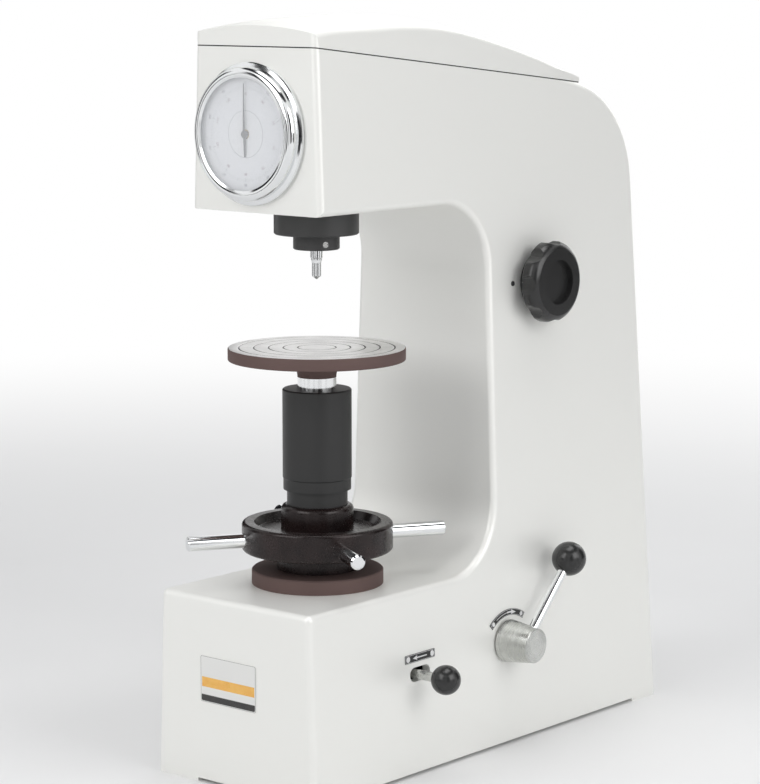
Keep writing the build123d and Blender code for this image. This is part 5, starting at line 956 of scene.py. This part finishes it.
@dataclass
class NamePlate:
    """The plain bands and the frame line of the plate on the front of the base."""

    width: float = 61.0
    height: float = 38.5
    x: float = -6.0
    z: float = 87.5
    film: float = 0.06
    amber_from: float = -6.4
    amber_to: float = 1.8
    black_to: float = -12.9

    def band(self, low: float, high: float, margin: float) -> list[Flat]:
        """Give the outline of a band across the plate between two heights."""
        half = self.width / 2 - margin
        return [(-half, low), (half, low), (half, high), (-half, high)]

    def build(self) -> None:
        """Print the bands and the frame line."""
        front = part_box("name_plate")[0].y
        turn = Matrix.Rotation(math.pi / 2, 4, "X")
        plane = Matrix.Translation((self.x * MM, front, self.z * MM)) @ turn
        amber = flat_print([self.band(self.amber_from, self.amber_to, 1.6)], self.film, plane)
        hand_over(amber, "plate_amber_band", "frame", [PLATE_AMBER])
        half = self.width / 2 - 1.0
        foot = -self.height / 2 + 1.0
        corner = [(-half, self.black_to), (-half, foot + 1.2)]
        corner += [(-half + 0.4, foot + 0.4), (-half + 1.2, foot), (half - 1.2, foot),
                   (half - 0.4, foot + 0.4), (half, foot + 1.2), (half, self.black_to)]
        black = flat_print([corner], self.film, plane)
        hand_over(black, "plate_black_band", "frame", [PLATE_BLACK])
        frame_line = flat_print(
            [rounded_box(self.width - 0.5, self.height - 0.5, 1.3),
             rounded_box(self.width - 1.1, self.height - 1.1, 1.1)],
            self.film, plane)
        hand_over(frame_line, "plate_frame_line", "frame", [PLATE_LINE])


# ---- Studio --------------------------------------------------------------


@dataclass
class Studio:
    """A pale floor, a white surround, soft lamps and dark cards for the bright metal."""

    floor_size: float = 12.0
    floor_tone: float = 0.8
    ambient: float = 0.42
    beam_from: float = 0.72
    beam_to: float = 0.9
    beam_edge: float = 0.03
    cards: tuple[Flat, ...] = ((-118, 1.5), (-72, 1.1), (-36, 0.5), (-8, 0.9), (24, 0.45),
                               (58, 1.2), (98, 0.7), (150, 1.7))
    card_height: float = 2.1
    card_distance: float = 2.7
    lens: float = 125.64
    eye: Point = (1.4748, -1.6579, 0.6535)
    pitch: float = 81.305
    heading: float = 40.32

    def build(self) -> None:
        """Set up the surround, the floor, the lamps, the cards and the camera."""
        self.surround()
        self.floor()
        self.lamp("front_lamp", (-0.35, -2.2, 1.6), (0, 0, 0.33), 1.6, 24.0)
        self.lamp("side_lamp", (2.3, 0.1, 1.35), (0, 0.1, 0.3), 1.5, 21.0)
        self.lamp("top_lamp", (0.1, 0.1, 2.3), (0, 0.1, 0.3), 1.4, 17.0)
        self.lamp("back_lamp", (-0.6, 2.3, 1.4), (0, 0.2, 0.35), 1.4, 10.0)
        for number, (bearing, width) in enumerate(self.cards, start=1):
            self.card(f"dark_card_{number}", bearing, width)
        self.camera()

    def surround(self) -> None:
        """Make the world white to the eye, white with a dark beam to gloss, soft to the rest."""
        world = bpy.data.worlds.new("surround")
        bpy.context.scene.world = world
        world.use_nodes = True
        graph = Graph(world.node_tree)
        path = graph.add("LightPath").outputs
        seen = graph.sum("MAXIMUM", graph.sum(
            "MAXIMUM", path["Is Camera Ray"], path["Is Glossy Ray"]), path["Is Transmission Ray"])
        bearing = graph.add("TexCoord").outputs["Generated"]
        height = graph.add("SeparateXYZ", {0: bearing}).outputs[2]
        beam_low = graph.span(height, self.beam_from, self.beam_from + self.beam_edge)
        beam_high = graph.span(height, self.beam_to, self.beam_to + self.beam_edge)
        beam = graph.sum("MULTIPLY", graph.sum("SUBTRACT", beam_low, beam_high),
                         path["Is Glossy Ray"])
        shade = graph.blend(beam, (1.0, 1.0, 1.0), (0.02, 0.02, 0.024))
        white = graph.add("Background", {"Color": shade, "Strength": 1.0})
        soft = graph.add("Background", {"Color": (0.97, 0.98, 1.0), "Strength": self.ambient})
        mixed = graph.add("MixShader", {0: seen, 1: soft.outputs[0], 2: white.outputs[0]})
        graph.add("OutputWorld", {"Surface": mixed.outputs[0]})

    def floor(self) -> None:
        """Lay the pale floor, which fades to white away from the object."""
        deselect()
        bpy.ops.mesh.primitive_plane_add(size=self.floor_size, location=(0, 0, 0))
        floor = bpy.context.object
        floor.name = "studio_floor"
        material = bpy.data.materials.new("studio_floor")
        material.use_nodes = True
        graph = Graph(material.node_tree)
        place = graph.add("TexCoord").outputs["Object"]
        away = graph.add("VectorMath", {0: place}, operation="LENGTH").outputs[1]
        tone = graph.effect("cloudy_tone", Vector=place, Scale=1.5,
                            Light=(self.floor_tone,) * 3, Dark=(self.floor_tone * 0.97,) * 3)
        matt = graph.add("BsdfDiffuse", {"Color": tone.outputs["Colour"]})
        white = graph.add("Emission", {"Color": (1.0, 1.0, 1.0), "Strength": 1.0})
        path = graph.add("LightPath").outputs
        seen = graph.sum("MAXIMUM", path["Is Camera Ray"], path["Is Glossy Ray"])
        share = graph.sum("MULTIPLY", graph.span(away, 0.7, 2.6), seen)
        mixed = graph.add("MixShader", {0: share, 1: matt.outputs[0], 2: white.outputs[0]})
        graph.add("OutputMaterial", {"Surface": mixed.outputs[0]})
        floor.data.materials.append(material)

    def lamp(self, name: str, spot: Point, target: Point, size: float, power: float) -> None:
        """Hang one square soft lamp.

        Args:
            name: The lamp's name.
            spot: Where it hangs, in metres.
            target: What it points at.
            size: Its side in metres.
            power: Its power in watts.
        """
        light = bpy.data.lights.new(name, "AREA")
        light.size = size
        light.energy = power
        lamp = bpy.data.objects.new(name, light)
        lamp.location = spot
        lamp.rotation_euler = (Vector(target) - Vector(spot)).to_track_quat("-Z", "Y").to_euler()
        bpy.context.scene.collection.objects.link(lamp)

    def card(self, name: str, bearing: float, width: float) -> None:
        """Stand a dark card that only bright surfaces mirror.

        Args:
            name: The card's name.
            bearing: Where it stands round the object, in degrees from the front.
            width: Its width in metres.
        """
        deselect()
        turn = math.radians(bearing)
        away = self.card_distance
        spot = (away * math.sin(turn), -away * math.cos(turn), self.card_height / 2)
        bpy.ops.mesh.primitive_plane_add(size=1.0, location=spot,
                                         rotation=(math.pi / 2, 0, turn))
        card = bpy.context.object
        card.scale = (width, self.card_height, 1.0)
        card.name = name
        material = bpy.data.materials.get("dark_card")
        if material is None:
            material = bpy.data.materials.new("dark_card")
            material.use_nodes = True
            graph = Graph(material.node_tree)
            shade = graph.add("BsdfDiffuse", {"Color": (0.012, 0.012, 0.014)})
            graph.add("OutputMaterial", {"Surface": shade.outputs[0]})
        card.data.materials.append(material)
        card.visible_camera = False
        card.visible_diffuse = False
        card.visible_shadow = False
        card.visible_transmission = False
        card.visible_volume_scatter = False

    def camera(self) -> None:
        """Stand the camera."""
        data = bpy.data.cameras.new("camera")
        data.lens = self.lens
        data.sensor_width = 36.0
        data.clip_end = 50.0
        camera = bpy.data.objects.new("camera", data)
        camera.location = self.eye
        camera.rotation_euler = (math.radians(self.pitch), 0, math.radians(self.heading))
        bpy.context.scene.collection.objects.link(camera)
        bpy.context.scene.camera = camera


def main() -> None:
    """Build the looks in order."""
    logging.basicConfig(level=logging.INFO, format="%(message)s")
    bpy.context.scene.view_settings.view_transform = "Standard"
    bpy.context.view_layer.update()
    build_effects()
    dress_nodes(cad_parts)
    for assembly in (Anvil(), Dial(), FlankMarks(), NamePlate(), Studio()):
        assembly.build()


if __name__ == "__main__":
    main()
